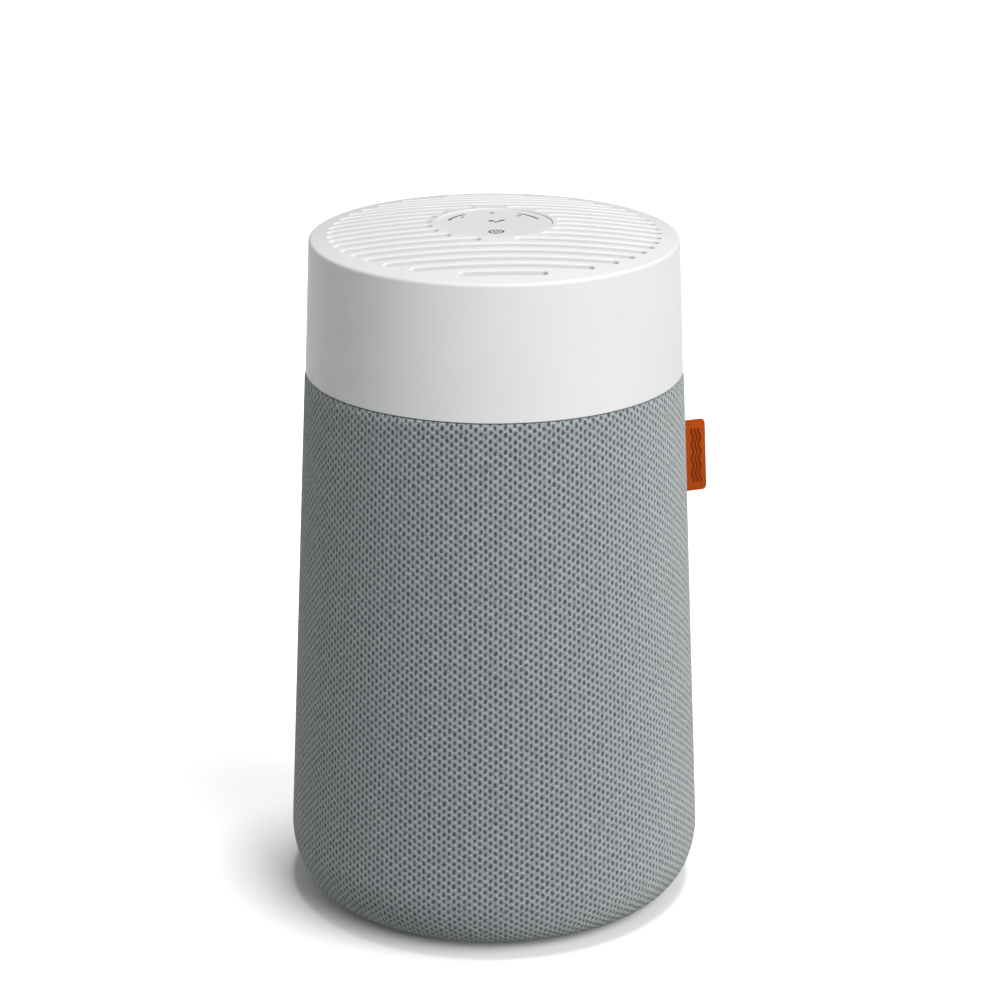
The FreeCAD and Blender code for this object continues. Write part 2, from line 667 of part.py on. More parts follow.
def make_outlet_diffuser():
    """Core cup for the motor and boards, held in the housing by curved vanes and an outer ring."""
    wall, floor_thickness, hub_hole, cup_high, ring_high = 2.5, 2.5, 10.0, 456.2, 417.0
    lean_deg, spread_deg, vane_start_deg = -22.0, 1.6, 15.0
    post_radius, duct_half, duct_wall = 3.0, 4.4, 1.6
    vane_inner, vane_outer = CORE_RADIUS + 1, HOUSING_RADIUS - 1
    cup_wall = ring(CORE_RADIUS + wall, CORE_RADIUS, CORE_FLOOR_Z, cup_high)
    floor = ring(CORE_RADIUS + 1, hub_hole, CORE_FLOOR_Z, CORE_FLOOR_Z + floor_thickness)
    outer_ring = ring(HOUSING_RADIUS - 0.1, HOUSING_RADIUS - 2, DIFFUSER_LOW_Z, ring_high)
    vane = fan_blade(vane_inner, vane_outer, lean_deg, DIFFUSER_LOW_Z + 0.9, ring_high, spread_deg)
    duct = block((-duct_half - duct_wall, duct_half + duct_wall), (vane_inner, vane_outer),
                 (MAINS_Z - 5, MAINS_Z + 5))
    circle, count, start = BOARD_SCREW_RING
    posts = around(disc(post_radius, CORE_FLOOR_Z + 1, POWER_BOARD_Z, circle, 0), count, start)
    solid = merge([cup_wall, floor, outer_ring, duct] + around(vane, STATOR_VANES, vane_start_deg) + posts)
    bore = block((-duct_half, duct_half), (CORE_RADIUS - 2, HOUSING_RADIUS + 2), (MAINS_Z - 3, MAINS_Z + 3))
    floor_top = CORE_FLOOR_Z + 4
    holes = ring_of_holes(MOTOR_SCREW_RING, CORE_FLOOR_Z - 1, floor_top, SCREW_HOLE)
    holes += ring_of_holes(BOARD_SCREW_RING, POWER_BOARD_Z - 8, POWER_BOARD_Z + 1, PILOT_HOLE)
    lead_hole = disc(MOTOR_LEAD_RADIUS + 1, CORE_FLOOR_Z - 1, floor_top, MOTOR_LEAD_X, 0)
    return cut_all(solid, [bore, lead_hole] + holes)


def make_fan_housing_screws():
    return ring_of_screws(HOUSING_SCREW_RING, DECK_Z + 0.2, DECK_Z + 7.5, True, SMALL_SHANK, SMALL_HEAD)


def make_bellmouth_screws():
    return ring_of_screws(BELLMOUTH_SCREW_RING, DECK_Z - 8, DECK_Z + 4.5, True)


# ---------------------------------------------------------------- motor

def make_motor_base():
    """Mounting plate with a tube that carries both bearings."""
    plate_radius, tube_radius, relief_radius = 34.0, 9.5, 6.6
    seat = BEARING_RADIUS + 0.05
    plate = disc(plate_radius, MOTOR_PLATE_Z, MOTOR_PLATE_Z + 3)
    tube = disc(tube_radius, TUBE_LOW_Z, MOTOR_PLATE_Z + 1)
    bores = [
        disc(seat, TUBE_LOW_Z - 1, TUBE_LOW_Z + 6),
        disc(relief_radius, TUBE_LOW_Z + 5, MOTOR_PLATE_Z - 2),
        disc(seat, MOTOR_PLATE_Z - 3, MOTOR_PLATE_Z + 4),
    ]
    holes = ring_of_holes(MOTOR_SCREW_RING, MOTOR_PLATE_Z - 1, MOTOR_PLATE_Z + 4, SCREW_HOLE)
    return cut_all(merge([plate, tube]), bores + holes)


def make_motor_bearings():
    height, gap_outer, gap_inner, gap_depth = 5.0, 6.3, 4.6, 1.0
    bearings = []
    for low in (TUBE_LOW_Z + 0.5, MOTOR_PLATE_Z - 2.5):
        race = ring(BEARING_RADIUS, SHAFT_RADIUS + SHAFT_CLEARANCE, low, low + height)
        low_gap = ring(gap_outer, gap_inner, low - 1, low + gap_depth)
        high_gap = ring(gap_outer, gap_inner, low + height - gap_depth, low + height + 1)
        bearings.append(cut_all(race, [low_gap, high_gap]))
    return bearings


def make_motor_core():
    """Laminated stator: a yoke, teeth and wide tooth tips."""
    yoke_outer, tooth_half, tip_low, tip_half_deg = 13.5, 2.0, 20.0, 14.0
    tooth = block((yoke_outer - 1.5, tip_low + 0.5), (-tooth_half, tooth_half),
                  (STATOR_LOW_Z, STATOR_HIGH_Z))
    tip = ring_sector(STATOR_RADIUS, tip_low, STATOR_LOW_Z, STATOR_HIGH_Z, -tip_half_deg, tip_half_deg)
    yoke = ring(yoke_outer, 9.6, STATOR_LOW_Z, STATOR_HIGH_Z)
    return merge([yoke] + around(tooth, STATOR_TEETH) + around(tip, STATOR_TEETH))


def make_motor_windings():
    half, overhang, tooth_half = 3.6, 2.5, 2.05
    coil = block((14, 19.5), (-half, half), (STATOR_LOW_Z - overhang, STATOR_HIGH_Z + overhang))
    hole = block((13, 21), (-tooth_half, tooth_half), (STATOR_LOW_Z - 0.05, STATOR_HIGH_Z + 0.05))
    return around(coil.cut(hole), STATOR_TEETH)


def make_rotor_can():
    """Steel cup round the stator, with a boss that the fan and the shaft sit on."""
    wall, floor, boss_low, vent_circle, vent_radius, vent_count = 1.6, 2.0, 338.0, 17.0, 4.0, 6
    side = ring(CAN_RADIUS, CAN_RADIUS - wall, CAN_LOW_Z, CAN_HIGH_Z)
    bottom = disc(CAN_RADIUS - 0.8, CAN_LOW_Z, CAN_LOW_Z + floor)
    boss = disc(BOSS_RADIUS, boss_low, CAN_LOW_Z + 1.5)
    bore = disc(SHAFT_RADIUS, SHAFT_LOW_Z, CAN_LOW_Z + 3.5)
    vents = ring_of_holes((vent_circle, vent_count, 0.0), CAN_LOW_Z - 0.5, CAN_LOW_Z + 2.5, vent_radius)
    return cut_all(merge([side, bottom, boss]), [bore] + vents)


def make_rotor_magnets():
    outer = CAN_RADIUS - 1.65
    step = 360.0 / MAGNET_COUNT
    gap = 1.0
    return [ring_sector(outer, MAGNET_INNER_RADIUS, STATOR_LOW_Z - 4, STATOR_HIGH_Z + 2,
                        index * step + gap, (index + 1) * step - gap) for index in range(MAGNET_COUNT)]


def make_motor_shaft():
    shaft_high = MOTOR_PLATE_Z + 6
    clip_groove = ring(SHAFT_RADIUS + 1, SHAFT_RADIUS - 0.5, shaft_high - 2, shaft_high - 1.2)
    return disc(SHAFT_RADIUS, SHAFT_LOW_Z, shaft_high).cut(clip_groove)


def make_impeller_nut():
    corner_radius, low, height, sides = 6.4, 333.0, 5.0, 6
    corners = []
    for index in range(sides):
        angle = 2 * math.pi * index / sides
        corners.append(FreeCAD.Vector(corner_radius * math.cos(angle), corner_radius * math.sin(angle), low))
    nut = Part.Face(Part.makePolygon(corners + [corners[0]])).extrude(UP * height)
    return nut.cut(disc(SHAFT_RADIUS, low - 3, low + height + 2))


def make_motor_grommets():
    circle, count, start = MOTOR_SCREW_RING
    grommet = ring(5.5, SCREW_HOLE, MOTOR_PLATE_Z + 3, CORE_FLOOR_Z, circle, 0)
    return around(grommet, count, start)


def make_motor_screws():
    return ring_of_screws(MOTOR_SCREW_RING, MOTOR_PLATE_Z + 0.5, CORE_FLOOR_Z + 4.5, True, SMALL_SHANK, 3.2)


# ---------------------------------------------------------------- boards and wiring

def make_power_board():
    board = disc(CORE_RADIUS - 3.5, POWER_BOARD_Z, POWER_BOARD_TOP)
    holes = ring_of_holes(BOARD_SCREW_RING, POWER_BOARD_Z - 1, POWER_BOARD_TOP + 1, PILOT_HOLE)
    return cut_all(board, holes)


def make_power_board_parts():
    top = POWER_BOARD_TOP
    transformer = block((-26, -4), (-12, 8), (top, top + 17))
    terminal = block((-6, 6), (LEAD_START_Y - 6, LEAD_START_Y), (top, top + 9))
    choke = block((-26, -12), (12, 22), (top, top + 11))
    regulator = block((20, 30), (-26, -23), (top, top + 14))
    large_capacitors = [disc(6, top, top + 20, 8, y) for y in (-16, -2)]
    small_capacitor = disc(4, top, top + 12, 22, -8)
    return [transformer, terminal, choke, regulator, small_capacitor] + large_capacitors


def make_power_board_screws():
    shank, head = PILOT_HOLE - 0.05, 2.6
    return ring_of_screws(BOARD_SCREW_RING, POWER_BOARD_Z - 6, POWER_BOARD_TOP + 2, True, shank, head)


def make_mains_leads():
    spacing, radius = 4.0, 1.4
    length = INLET_REAR_Y - LEAD_START_Y
    return [Part.makeCylinder(radius, length, FreeCAD.Vector(x, LEAD_START_Y, MAINS_Z), Y_AXIS)
            for x in (-spacing / 2, spacing / 2)]


def make_motor_lead():
    return disc(MOTOR_LEAD_RADIUS, MOTOR_PLATE_Z + 3, POWER_BOARD_Z, MOTOR_LEAD_X, 0)


def make_panel_ribbon():
    x, thickness, half_width = 26.0, 0.8, 6.0
    return block((x, x + thickness), (-half_width, half_width), (POWER_BOARD_TOP, BOARD_Z))


def make_particle_sensor():
    low, high, half_width, inner, outer = 371.0, 397.0, 19.0, 101.5, 113.5
    case = block((inner, outer), (-half_width, half_width), (low, high))
    inlet = block((outer - 3.5, outer + 1.5), (-7, 7), (low + 7, high - 5))
    return turned(case.cut(inlet), VENT_DEG)


# ---------------------------------------------------------------- power inlet

def make_power_inlet():
    """Two-pole mains socket: a body behind the cap wall and a flat face flush with the wall."""
    half_x, half_z, corner = 14.0, 9.5, 3.0
    face_thickness, socket_depth, lobe_radius, lobe_x = 2.4, 10.0, 3.4, 4.2
    body = block((-11, 11), (INLET_REAR_Y, INLET_FACE_Y - 1.3), (MAINS_Z - 7, MAINS_Z + 7))
    face = block((-half_x, half_x), (INLET_FACE_Y - face_thickness, INLET_FACE_Y),
                 (MAINS_Z - half_z, MAINS_Z + half_z))
    corners = [e for e in face.Edges if abs(e.BoundBox.YLength - face_thickness) < 0.01]
    face = face.makeFillet(corner, corners)
    floor_y = INLET_FACE_Y - socket_depth
    socket = [Part.makeCylinder(lobe_radius, socket_depth + 2, FreeCAD.Vector(x, floor_y, MAINS_Z), Y_AXIS)
              for x in (-lobe_x, lobe_x)]
    socket.append(block((-lobe_x, lobe_x), (floor_y, INLET_FACE_Y + 2),
                        (MAINS_Z - lobe_radius, MAINS_Z + lobe_radius)))
    holes = [Part.makeCylinder(PIN_RADIUS + 0.05, 10, FreeCAD.Vector(x, INLET_REAR_Y - 0.5, MAINS_Z), Y_AXIS)
             for x in (-PIN_X, PIN_X)]
    return cut_all(merge([body, face]), socket + holes)


def make_inlet_pins():
    length = 16.0
    return [Part.makeCylinder(PIN_RADIUS, length, FreeCAD.Vector(x, INLET_REAR_Y + 0.5, MAINS_Z), Y_AXIS)
            for x in (-PIN_X, PIN_X)]


# ---------------------------------------------------------------- control panel

def guide_slot(limits, width, low, high):
    half = width / 2
    ends = [disc(half, low, high, GUIDE_RADIUS * math.cos(math.radians(a)),
                 GUIDE_RADIUS * math.sin(math.radians(a))) for a in limits]
    arc_part = ring_sector(GUIDE_RADIUS + half, GUIDE_RADIUS - half, low, high, limits[0], limits[1])
    return merge([arc_part] + ends)


def make_panel_disc():
    panel = disc(PANEL_RADIUS, PANEL_LOW_Z, PANEL_TOP_Z)
    rim = [e for e in panel.Edges if e.BoundBox.ZMin > PANEL_TOP_Z - 0.01]
    panel = panel.makeFillet(PANEL_EDGE_RADIUS, rim)
    low, high = PANEL_LOW_Z - 1, PANEL_TOP_Z + 1
    slot_width = GUIDE_WIDTH + 0.1
    cutters = [disc(KEY_HOLE_RADIUS, low, high, 0, KEY_CENTRE_Y)]
    cutters += [guide_slot(limits, slot_width, low, high) for limits in (LEFT_GUIDE_DEG, RIGHT_GUIDE_DEG)]
    cutters += [disc(radius + 0.05, low, high, x, y) for x, y, radius in LENSES]
    return cut_all(panel, cutters)


def make_light_guide(limits):
    return guide_slot(limits, GUIDE_WIDTH, LIGHT_LOW_Z, PANEL_TOP_Z)


def make_indicator_lenses():
    return [disc(radius, LIGHT_LOW_Z, PANEL_TOP_Z, x, y) for x, y, radius in LENSES]


def make_power_button():
    """Round key with a flange that stops under the panel and a stem over the switch."""
    flange_high = PANEL_LOW_Z - 0.2
    cap = disc(KEY_RADIUS, PANEL_LOW_Z - 0.6, PANEL_TOP_Z, 0, KEY_CENTRE_Y)
    cap = cap.makeFillet(PANEL_EDGE_RADIUS, [e for e in cap.Edges if e.BoundBox.ZMin > PANEL_TOP_Z - 0.01])
    flange = disc(KEY_RADIUS + 1.3, FLANGE_LOW_Z, flange_high, 0, KEY_CENTRE_Y)
    stem = disc(1.8, SWITCH_TOP_Z + KEY_TRAVEL + 0.1, flange_high, 0, KEY_CENTRE_Y)
    return merge([cap, flange, stem])


def make_button_spring():
    """Coil between the board and the key's flange, drawn at its released length."""
    wire_radius, coil_radius, turns = 0.25, 5.0, 2.5
    low = BOARD_TOP_Z + wire_radius
    high = FLANGE_LOW_Z - wire_radius
    helix = Part.makeHelix((high - low) / turns, high - low, coil_radius)
    profile = Part.Wire(Part.makeCircle(wire_radius, FreeCAD.Vector(coil_radius, 0, 0), Y_AXIS))
    coil = Part.Wire(helix.Edges).makePipeShell([profile], True, True)
    coil.translate(FreeCAD.Vector(0, KEY_CENTRE_Y, low))
    return coil


def make_button_switch():
    half, case_height, plunger_radius = 3.0, 1.1, 1.1
    case = block((-half, half), (KEY_CENTRE_Y - half, KEY_CENTRE_Y + half),
                 (BOARD_TOP_Z, BOARD_TOP_Z + case_height))
    return merge([case, disc(plunger_radius, BOARD_TOP_Z + 1, SWITCH_TOP_Z, 0, KEY_CENTRE_Y)])


def make_control_board():
    return disc(34.6, BOARD_Z, BOARD_TOP_Z)


def make_control_board_parts():
    """A chip, one lamp under each lens and a row of lamps under each light guide."""
    lamp_height, chip_height, lamps_per_guide = 1.4, 1.2, 4
    chip = block((-5, 5), (-9, 1), (BOARD_TOP_Z, BOARD_TOP_Z + chip_height))
    places = [(x, y, 1.2) for x, y, _ in LENSES]
    for first, last in (LEFT_GUIDE_DEG, RIGHT_GUIDE_DEG):
        for step in range(lamps_per_guide):
            angle = math.radians(first + (last - first) * (step + 0.5) / lamps_per_guide)
            places.append((GUIDE_RADIUS * math.cos(angle), GUIDE_RADIUS * math.sin(angle), 1.0))
    lamps = [block((x - half, x + half), (y - half, y + half), (BOARD_TOP_Z, BOARD_TOP_Z + lamp_height))
             for x, y, half in places]
    return [chip] + lamps


def make_panel_bracket():
    wall = ring(PANEL_RADIUS, 35.0, PANEL_MOUTH_LOW_Z + 1.5, PANEL_LOW_Z)
    ledge = ring(35.5, 31.0, PANEL_MOUTH_LOW_Z + 1.5, BOARD_Z)
    return merge([wall, ledge])


# ---------------------------------------------------------------- white cap

def slot_spans(y):
    """X ranges of the slot at height y: one across the cap, or two beside the panel ring."""
    end = math.sqrt(SLOT_END_CIRCLE ** 2 - y ** 2)
    clear = PANEL_RING_OUTER + SLOT_WIDTH / 2
    if abs(y) >= clear - 1.5:
        return [(-end, end)]
    start = math.sqrt(clear ** 2 - y ** 2)
    return [(-end, -start), (start, end)]


def slot_cutter(y, span):
    half = SLOT_WIDTH / 2
    low, high = RIM_Z - 12, RIM_Z + DOME_RISE + 4
    bar = block(span, (y - half, y + half), (low, high))
    return merge([bar, disc(half, low, high, span[0], y), disc(half, low, high, span[1], y)])


def slot_cutters():
    cutters = []
    for index in range(SLOT_COUNT):
        y = (index - (SLOT_COUNT - 1) / 2) * SLOT_PITCH
        cutters += [slot_cutter(y, span) for span in slot_spans(y)]
    return cutters


def cap_shell():
    """Side wall and dome in one turned moulding, before any opening is cut."""
    low = CAP_BOTTOM_Z
    wall_top = dome_z(RIM_RADIUS - CAP_WALL) - CAP_WALL
    mouth = PANEL_HOLE_RADIUS
    ring_outer = PANEL_RING_OUTER - 0.3
    inner_wall = (cap_radius_at(wall_top) - CAP_WALL, wall_top)
    grille_top = (GRILLE_RADIUS, dome_z(GRILLE_RADIUS) - CAP_WALL)
    return revolve([
        line((CAP_BOTTOM_RADIUS, low), (RIM_RADIUS, RIM_Z)),
        dome_arc(mouth, RIM_RADIUS, 0.0),
        line((mouth, dome_z(mouth)), (mouth, PANEL_MOUTH_LOW_Z)),
        line((mouth, PANEL_MOUTH_LOW_Z), (ring_outer, PANEL_MOUTH_LOW_Z)),
        line((ring_outer, PANEL_MOUTH_LOW_Z), (ring_outer, dome_z(ring_outer) - GRILLE_DEPTH)),
        dome_arc(ring_outer, GRILLE_RADIUS, GRILLE_DEPTH),
        line((GRILLE_RADIUS, dome_z(GRILLE_RADIUS) - GRILLE_DEPTH), grille_top),
        line(grille_top, inner_wall),
        line(inner_wall, (CAP_BOTTOM_RADIUS - CAP_WALL, low)),
        line((CAP_BOTTOM_RADIUS - CAP_WALL, low), (CAP_BOTTOM_RADIUS, low)),
    ])


def soften_edges(shell):
    """Round the rim, the foot and the panel's mouth."""
    rim = [e for e in shell.Edges if abs(e.BoundBox.ZMax - RIM_Z) < 0.01 and e.BoundBox.XLength > RIM_RADIUS]
    shell = shell.makeFillet(RIM_EDGE_RADIUS, rim)
    foot = [e for e in shell.Edges if abs(e.BoundBox.ZMax - CAP_BOTTOM_Z) < 0.01 and
            e.BoundBox.XLength > 2 * CAP_BOTTOM_RADIUS - 1]
    shell = shell.makeFillet(FOOT_EDGE_RADIUS, foot)
    top_z = dome_z(PANEL_HOLE_RADIUS)
    mouth = [e for e in shell.Edges if abs(e.BoundBox.ZMax - top_z) < 0.01 and
             e.BoundBox.XLength < 2 * PANEL_RING_OUTER]
    return shell.makeFillet(PANEL_EDGE_RADIUS, mouth)


def soften_slots(shell):
    """Round the upper edge of every slot, where its wall meets the dome."""
    edges = []
    for edge in shell.Edges:
        middle = edge.valueAt((edge.FirstParameter + edge.LastParameter) / 2)
        radius = math.hypot(middle.x, middle.y)
        on_dome = abs(middle.z - dome_z(radius)) < 0.02
        if on_dome and PANEL_RING_OUTER - 2 < radius < SLOT_END_CIRCLE + SLOT_WIDTH:
            edges.append(edge)
    return shell.makeFillet(SLOT_EDGE_RADIUS, edges)


def screw_posts():
    """Posts inside the cap's wall, each tied to it by a web, for the screws from below."""
    post_radius, post_high, web_half = 4.5, 388.0, 1.5
    circle, count, start = SHELL_SCREW_RING
    post = disc(post_radius, TOP_FLANGE_Z + FRAME_WALL + 0.1, post_high, circle, 0)
    web = block((circle + 0.5, CAP_BOTTOM_RADIUS - 3.3), (-web_half, web_half),
                (NECK_TOP_Z + 1.8, post_high))
    return around(merge([post, web]), count, start)


def sensor_vents():
    count, pitch, half_width, low, high = 5, 3.6, 0.8, 378.0, 392.0
    vents = []
    for index in range(count):
        x = (index - (count - 1) / 2) * pitch
        vent = block((CAP_BOTTOM_RADIUS - 15, CAP_BOTTOM_RADIUS + 5), (x - half_width, x + half_width),
                     (low, high))
        vents.append(turned(vent, VENT_DEG))
    return vents


def inlet_pocket():
    half_x, half_z, corner = 14.1, 9.6, 3.0
    pocket = block((-half_x, half_x), (INLET_FACE_Y - 7, INLET_FACE_Y + 8),
                   (MAINS_Z - half_z, MAINS_Z + half_z))
    return pocket.makeFillet(corner, [e for e in pocket.Edges if e.BoundBox.YLength > 10])


def make_top_shell():
    shell = soften_edges(cap_shell())
    shell = soften_slots(cut_all(shell, slot_cutters()))
    shell = merge([shell] + screw_posts())
    bores = ring_of_holes(SHELL_SCREW_RING, TOP_FLANGE_Z, TOP_FLANGE_Z + 21, SCREW_SHANK + 0.05)
    return cut_all(shell, [inlet_pocket()] + bores + sensor_vents())


def make_shell_screws():
    return ring_of_screws(SHELL_SCREW_RING, TOP_FLANGE_Z - 2, TOP_FLANGE_Z + 18, False)


def main():
    os.makedirs("parts", exist_ok=True)
    pieces = {
        "top_shell": make_top_shell(),
        "shell_screws": make_shell_screws(),
        "panel_disc": make_panel_disc(),
        "power_button": make_power_button(),
        "button_spring": make_button_spring(),
        "button_switch": make_button_switch(),
        "left_light_guide": make_light_guide(LEFT_GUIDE_DEG),
        "right_light_guide": make_light_guide(RIGHT_GUIDE_DEG),
        "indicator_lenses": make_indicator_lenses(),
        "control_board": make_control_board(),
        "control_board_parts": make_control_board_parts(),
        "panel_bracket": make_panel_bracket(),
        "panel_ribbon": make_panel_ribbon(),
        "power_inlet": make_power_inlet(),
        "inlet_pins": make_inlet_pins(),
        "mains_leads": make_mains_leads(),
        "power_board": make_power_board(),
        "power_board_parts": make_power_board_parts(),
        "power_board_screws": make_power_board_screws(),
        "particle_sensor": make_particle_sensor(),
        "outlet_diffuser": make_outlet_diffuser(),
        "fan_housing": make_fan_housing(),
        "fan_housing_screws": make_fan_housing_screws(),
        "inlet_bellmouth": make_inlet_bellmouth(),
        "bellmouth_screws": make_bellmouth_screws(),
        "fan_impeller": make_fan_impeller(),
        "impeller_nut": make_impeller_nut(),
        "motor_base": make_motor_base(),
        "motor_bearings": make_motor_bearings(),
        "motor_core": make_motor_core(),
        "motor_windings": make_motor_windings(),
        "motor_shaft": make_motor_shaft(),
        "rotor_can": make_rotor_can(),
        "rotor_magnets": make_rotor_magnets(),
        "motor_grommets": make_motor_grommets(),
        "motor_screws": make_motor_screws(),
        "motor_lead": make_motor_lead(),
        "tower_frame": make_tower_frame(),
        "fabric_sleeve": make_fabric_sleeve(),
        "sleeve_top_band": make_sleeve_top_band(),
        "sleeve_bottom_band": make_sleeve_bottom_band(),
        "side_tag": make_side_tag(),
        "filter_media": make_filter_media(),
        "carbon_layer": make_carbon_layer(),
        "filter_core": make_filter_core(),
        "filter_top_ring": make_filter_top_ring(),
        "filter_bottom_cap": make_filter_bottom_cap(),
        "filter_gasket": make_filter_gasket(),
        "filter_pull_tab": make_filter_pull_tab(),
        "base_cover": make_base_cover(),
        "rubber_feet": make_rubber_feet(),
    }
    for name, shape in pieces.items():
        export(name, shape)


main()
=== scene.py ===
import json
import math

import bmesh
import bpy
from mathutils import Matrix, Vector

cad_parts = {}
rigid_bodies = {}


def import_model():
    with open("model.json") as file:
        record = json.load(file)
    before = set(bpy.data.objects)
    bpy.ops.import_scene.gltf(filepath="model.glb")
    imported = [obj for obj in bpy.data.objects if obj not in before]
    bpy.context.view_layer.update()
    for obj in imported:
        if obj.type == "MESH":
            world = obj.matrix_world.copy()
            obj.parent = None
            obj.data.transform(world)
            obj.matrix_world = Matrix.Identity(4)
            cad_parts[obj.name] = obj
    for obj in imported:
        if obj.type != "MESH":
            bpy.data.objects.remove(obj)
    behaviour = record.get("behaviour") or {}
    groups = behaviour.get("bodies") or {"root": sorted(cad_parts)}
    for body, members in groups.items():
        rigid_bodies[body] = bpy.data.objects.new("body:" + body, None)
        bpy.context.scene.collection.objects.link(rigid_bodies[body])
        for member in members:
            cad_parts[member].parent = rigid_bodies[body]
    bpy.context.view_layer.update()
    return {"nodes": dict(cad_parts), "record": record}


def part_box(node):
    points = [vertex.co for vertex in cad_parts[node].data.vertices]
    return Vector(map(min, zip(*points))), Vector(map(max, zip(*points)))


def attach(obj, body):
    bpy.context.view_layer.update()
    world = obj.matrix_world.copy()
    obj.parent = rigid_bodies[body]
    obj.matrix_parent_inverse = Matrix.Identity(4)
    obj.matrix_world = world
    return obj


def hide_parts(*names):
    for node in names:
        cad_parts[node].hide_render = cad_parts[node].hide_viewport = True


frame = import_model()

# Sizes are in metres, in the frame of the model: Z up, front towards -Y, tag at +X.
SLEEVE_LOW, SLEEVE_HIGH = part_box("fabric_sleeve")
TAG_LOW, TAG_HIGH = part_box("side_tag")
KEY_LOW, KEY_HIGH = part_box("power_button")
PANEL_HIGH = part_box("panel_disc")[1]
SHELL_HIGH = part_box("top_shell")[1]
BASE_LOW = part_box("base_cover")[0]

# Outline of the sleeve, as in the design
BODY_RADIUS = SLEEVE_HIGH.y
CORNER_WIDTH = 0.0218
CORNER_HEIGHT = 0.0382
SLEEVE_TOP_RADIUS = 0.1251
HEM_INNER_RADIUS = 0.1160
CLOTH_THICKNESS = 0.0021
STRAIGHT_ROWS = 246
CORNER_ROWS = 40
TURNED_HEM = 0.0012
HEM_FADE = 0.004

# The tag sewn into the side seam, leaning back, as in the design
TAG_LEAN = math.radians(18)
TAG_PROUD = 0.0148
TAG_THICKNESS = 0.0018
TAG_CORNER = 0.003
TAG_EDGE = 0.0004
TAG_ROOT = 0.0012
WAVE_REACH = 0.0185
WAVE_SPACING = 0.0026
WAVE_WIDTH = 0.0015
WAVE_SWING = 0.0008
WAVE_FROM_EDGE = 0.0072

# Knit: COLUMNS of holes round the tower, one row every COURSE, which climbs by COURSE_LEAN of a
# row with each column. Holes of neighbouring columns stand half a row apart.
COLUMNS = 256
COURSE = 0.0053
COURSE_LEAN = 0.0715
HOLE_DEPTH = 0.00055
HOLE_NARROW = 2.6
HOLE_TALL = 0.75
SEAM_DEPTH = 0.0009
SEAM_TO_STITCH = 0.0024
STITCH_LENGTH = 0.0042
STITCH_PITCH = 0.0062
STITCH_RADIUS = 0.00028

# Marks on the panel and under the base
PRINT_SUNK = 0.0001
PRINT_PROUD = 0.00006
THIN_LINE = 0.0006
KEY_RING_RADIUS = 0.0044
BASE_MARK_RADIUS = 0.0700
BASE_MARK_PROUD = 0.0004

# View
CAMERA_DISTANCE = 1.875
CAMERA_HEIGHT = 0.927
CAMERA_TILT_DEG = 19.29
CAMERA_TURN_DEG = 3.11
FOCAL_LENGTH_MM = 106.6
FRAME_SHIFT = 0.0057

# Light
SIDE_SURROUND = 0.27
TOP_SURROUND = 0.62
KEY_POWER = 65
FLOOR_OVERHEAD = 3.4
FLOOR_FRONTAL = 4.8


# ------------------------------------------------------------------ material helpers

class Graph:
    """A new material's node tree, with short ways to add and link nodes."""

    def __init__(self, name, color, roughness, **values):
        self.material = bpy.data.materials.new(name)
        self.material.use_nodes = True
        self.tree = self.material.node_tree
        self.shader = self.tree.nodes["Principled BSDF"]
        self.shader.inputs["Base Color"].default_value = (*color, 1)
        self.shader.inputs["Roughness"].default_value = roughness
        for key, value in values.items():
            self.shader.inputs[key.replace("_", " ")].default_value = value

    def add(self, kind, **settings):
        node = self.tree.nodes.new(kind)
        for key, value in settings.items():
            setattr(node, key, value)
        return node

    def wire(self, value, socket):
        """Feeds a socket from another socket, or sets it to a plain value."""
        if isinstance(value, bpy.types.NodeSocket):
            self.tree.links.new(value, socket)
        else:
            socket.default_value = value

    def math(self, operation, first, second=0.0, clamp=False):
        node = self.add("ShaderNodeMath", operation=operation, use_clamp=clamp)
        self.wire(first, node.inputs[0])
        self.wire(second, node.inputs[1])
        return node.outputs[0]

    def place(self):
        return self.add("ShaderNodeTexCoord").outputs["Object"]

    def noise(self, scale, detail=3.0, roughness=0.5, vector=None):
        node = self.add("ShaderNodeTexNoise")
        node.inputs["Scale"].default_value = scale
        node.inputs["Detail"].default_value = detail
        node.inputs["Roughness"].default_value = roughness
        self.wire(vector or self.place(), node.inputs["Vector"])
        return node.outputs["Fac"]

    def remap(self, value, from_low, from_high, to_low, to_high):
        node = self.add("ShaderNodeMapRange")
        self.wire(value, node.inputs["Value"])
        limits = (from_low, from_high, to_low, to_high)
        for key, limit in zip(("From Min", "From Max", "To Min", "To Max"), limits):
            node.inputs[key].default_value = limit
        return node.outputs["Result"]

    def blend(self, factor, first, second):
        node = self.add("ShaderNodeMix", data_type="RGBA")
        self.wire(factor, node.inputs["Factor"])
        colors = [socket for socket in node.inputs if socket.type == "RGBA"]
        for color, socket in zip((first, second), colors):
            self.wire(color if isinstance(color, bpy.types.NodeSocket) else (*color, 1), socket)
        return [socket for socket in node.outputs if socket.type == "RGBA"][0]

    def bump(self, height, strength, distance, normal=None):
        node = self.add("ShaderNodeBump")
        node.inputs["Strength"].default_value = strength
        node.inputs["Distance"].default_value = distance
        self.wire(height, node.inputs["Height"])
        if normal:
            self.wire(normal, node.inputs["Normal"])
        return node.outputs["Normal"]

    def finish(self, color=None, roughness=None, normal=None):
        for value, key in ((color, "Base Color"), (roughness, "Roughness"), (normal, "Normal")):
            if value is not None:
                self.wire(value, self.shader.inputs[key])
        return self.material


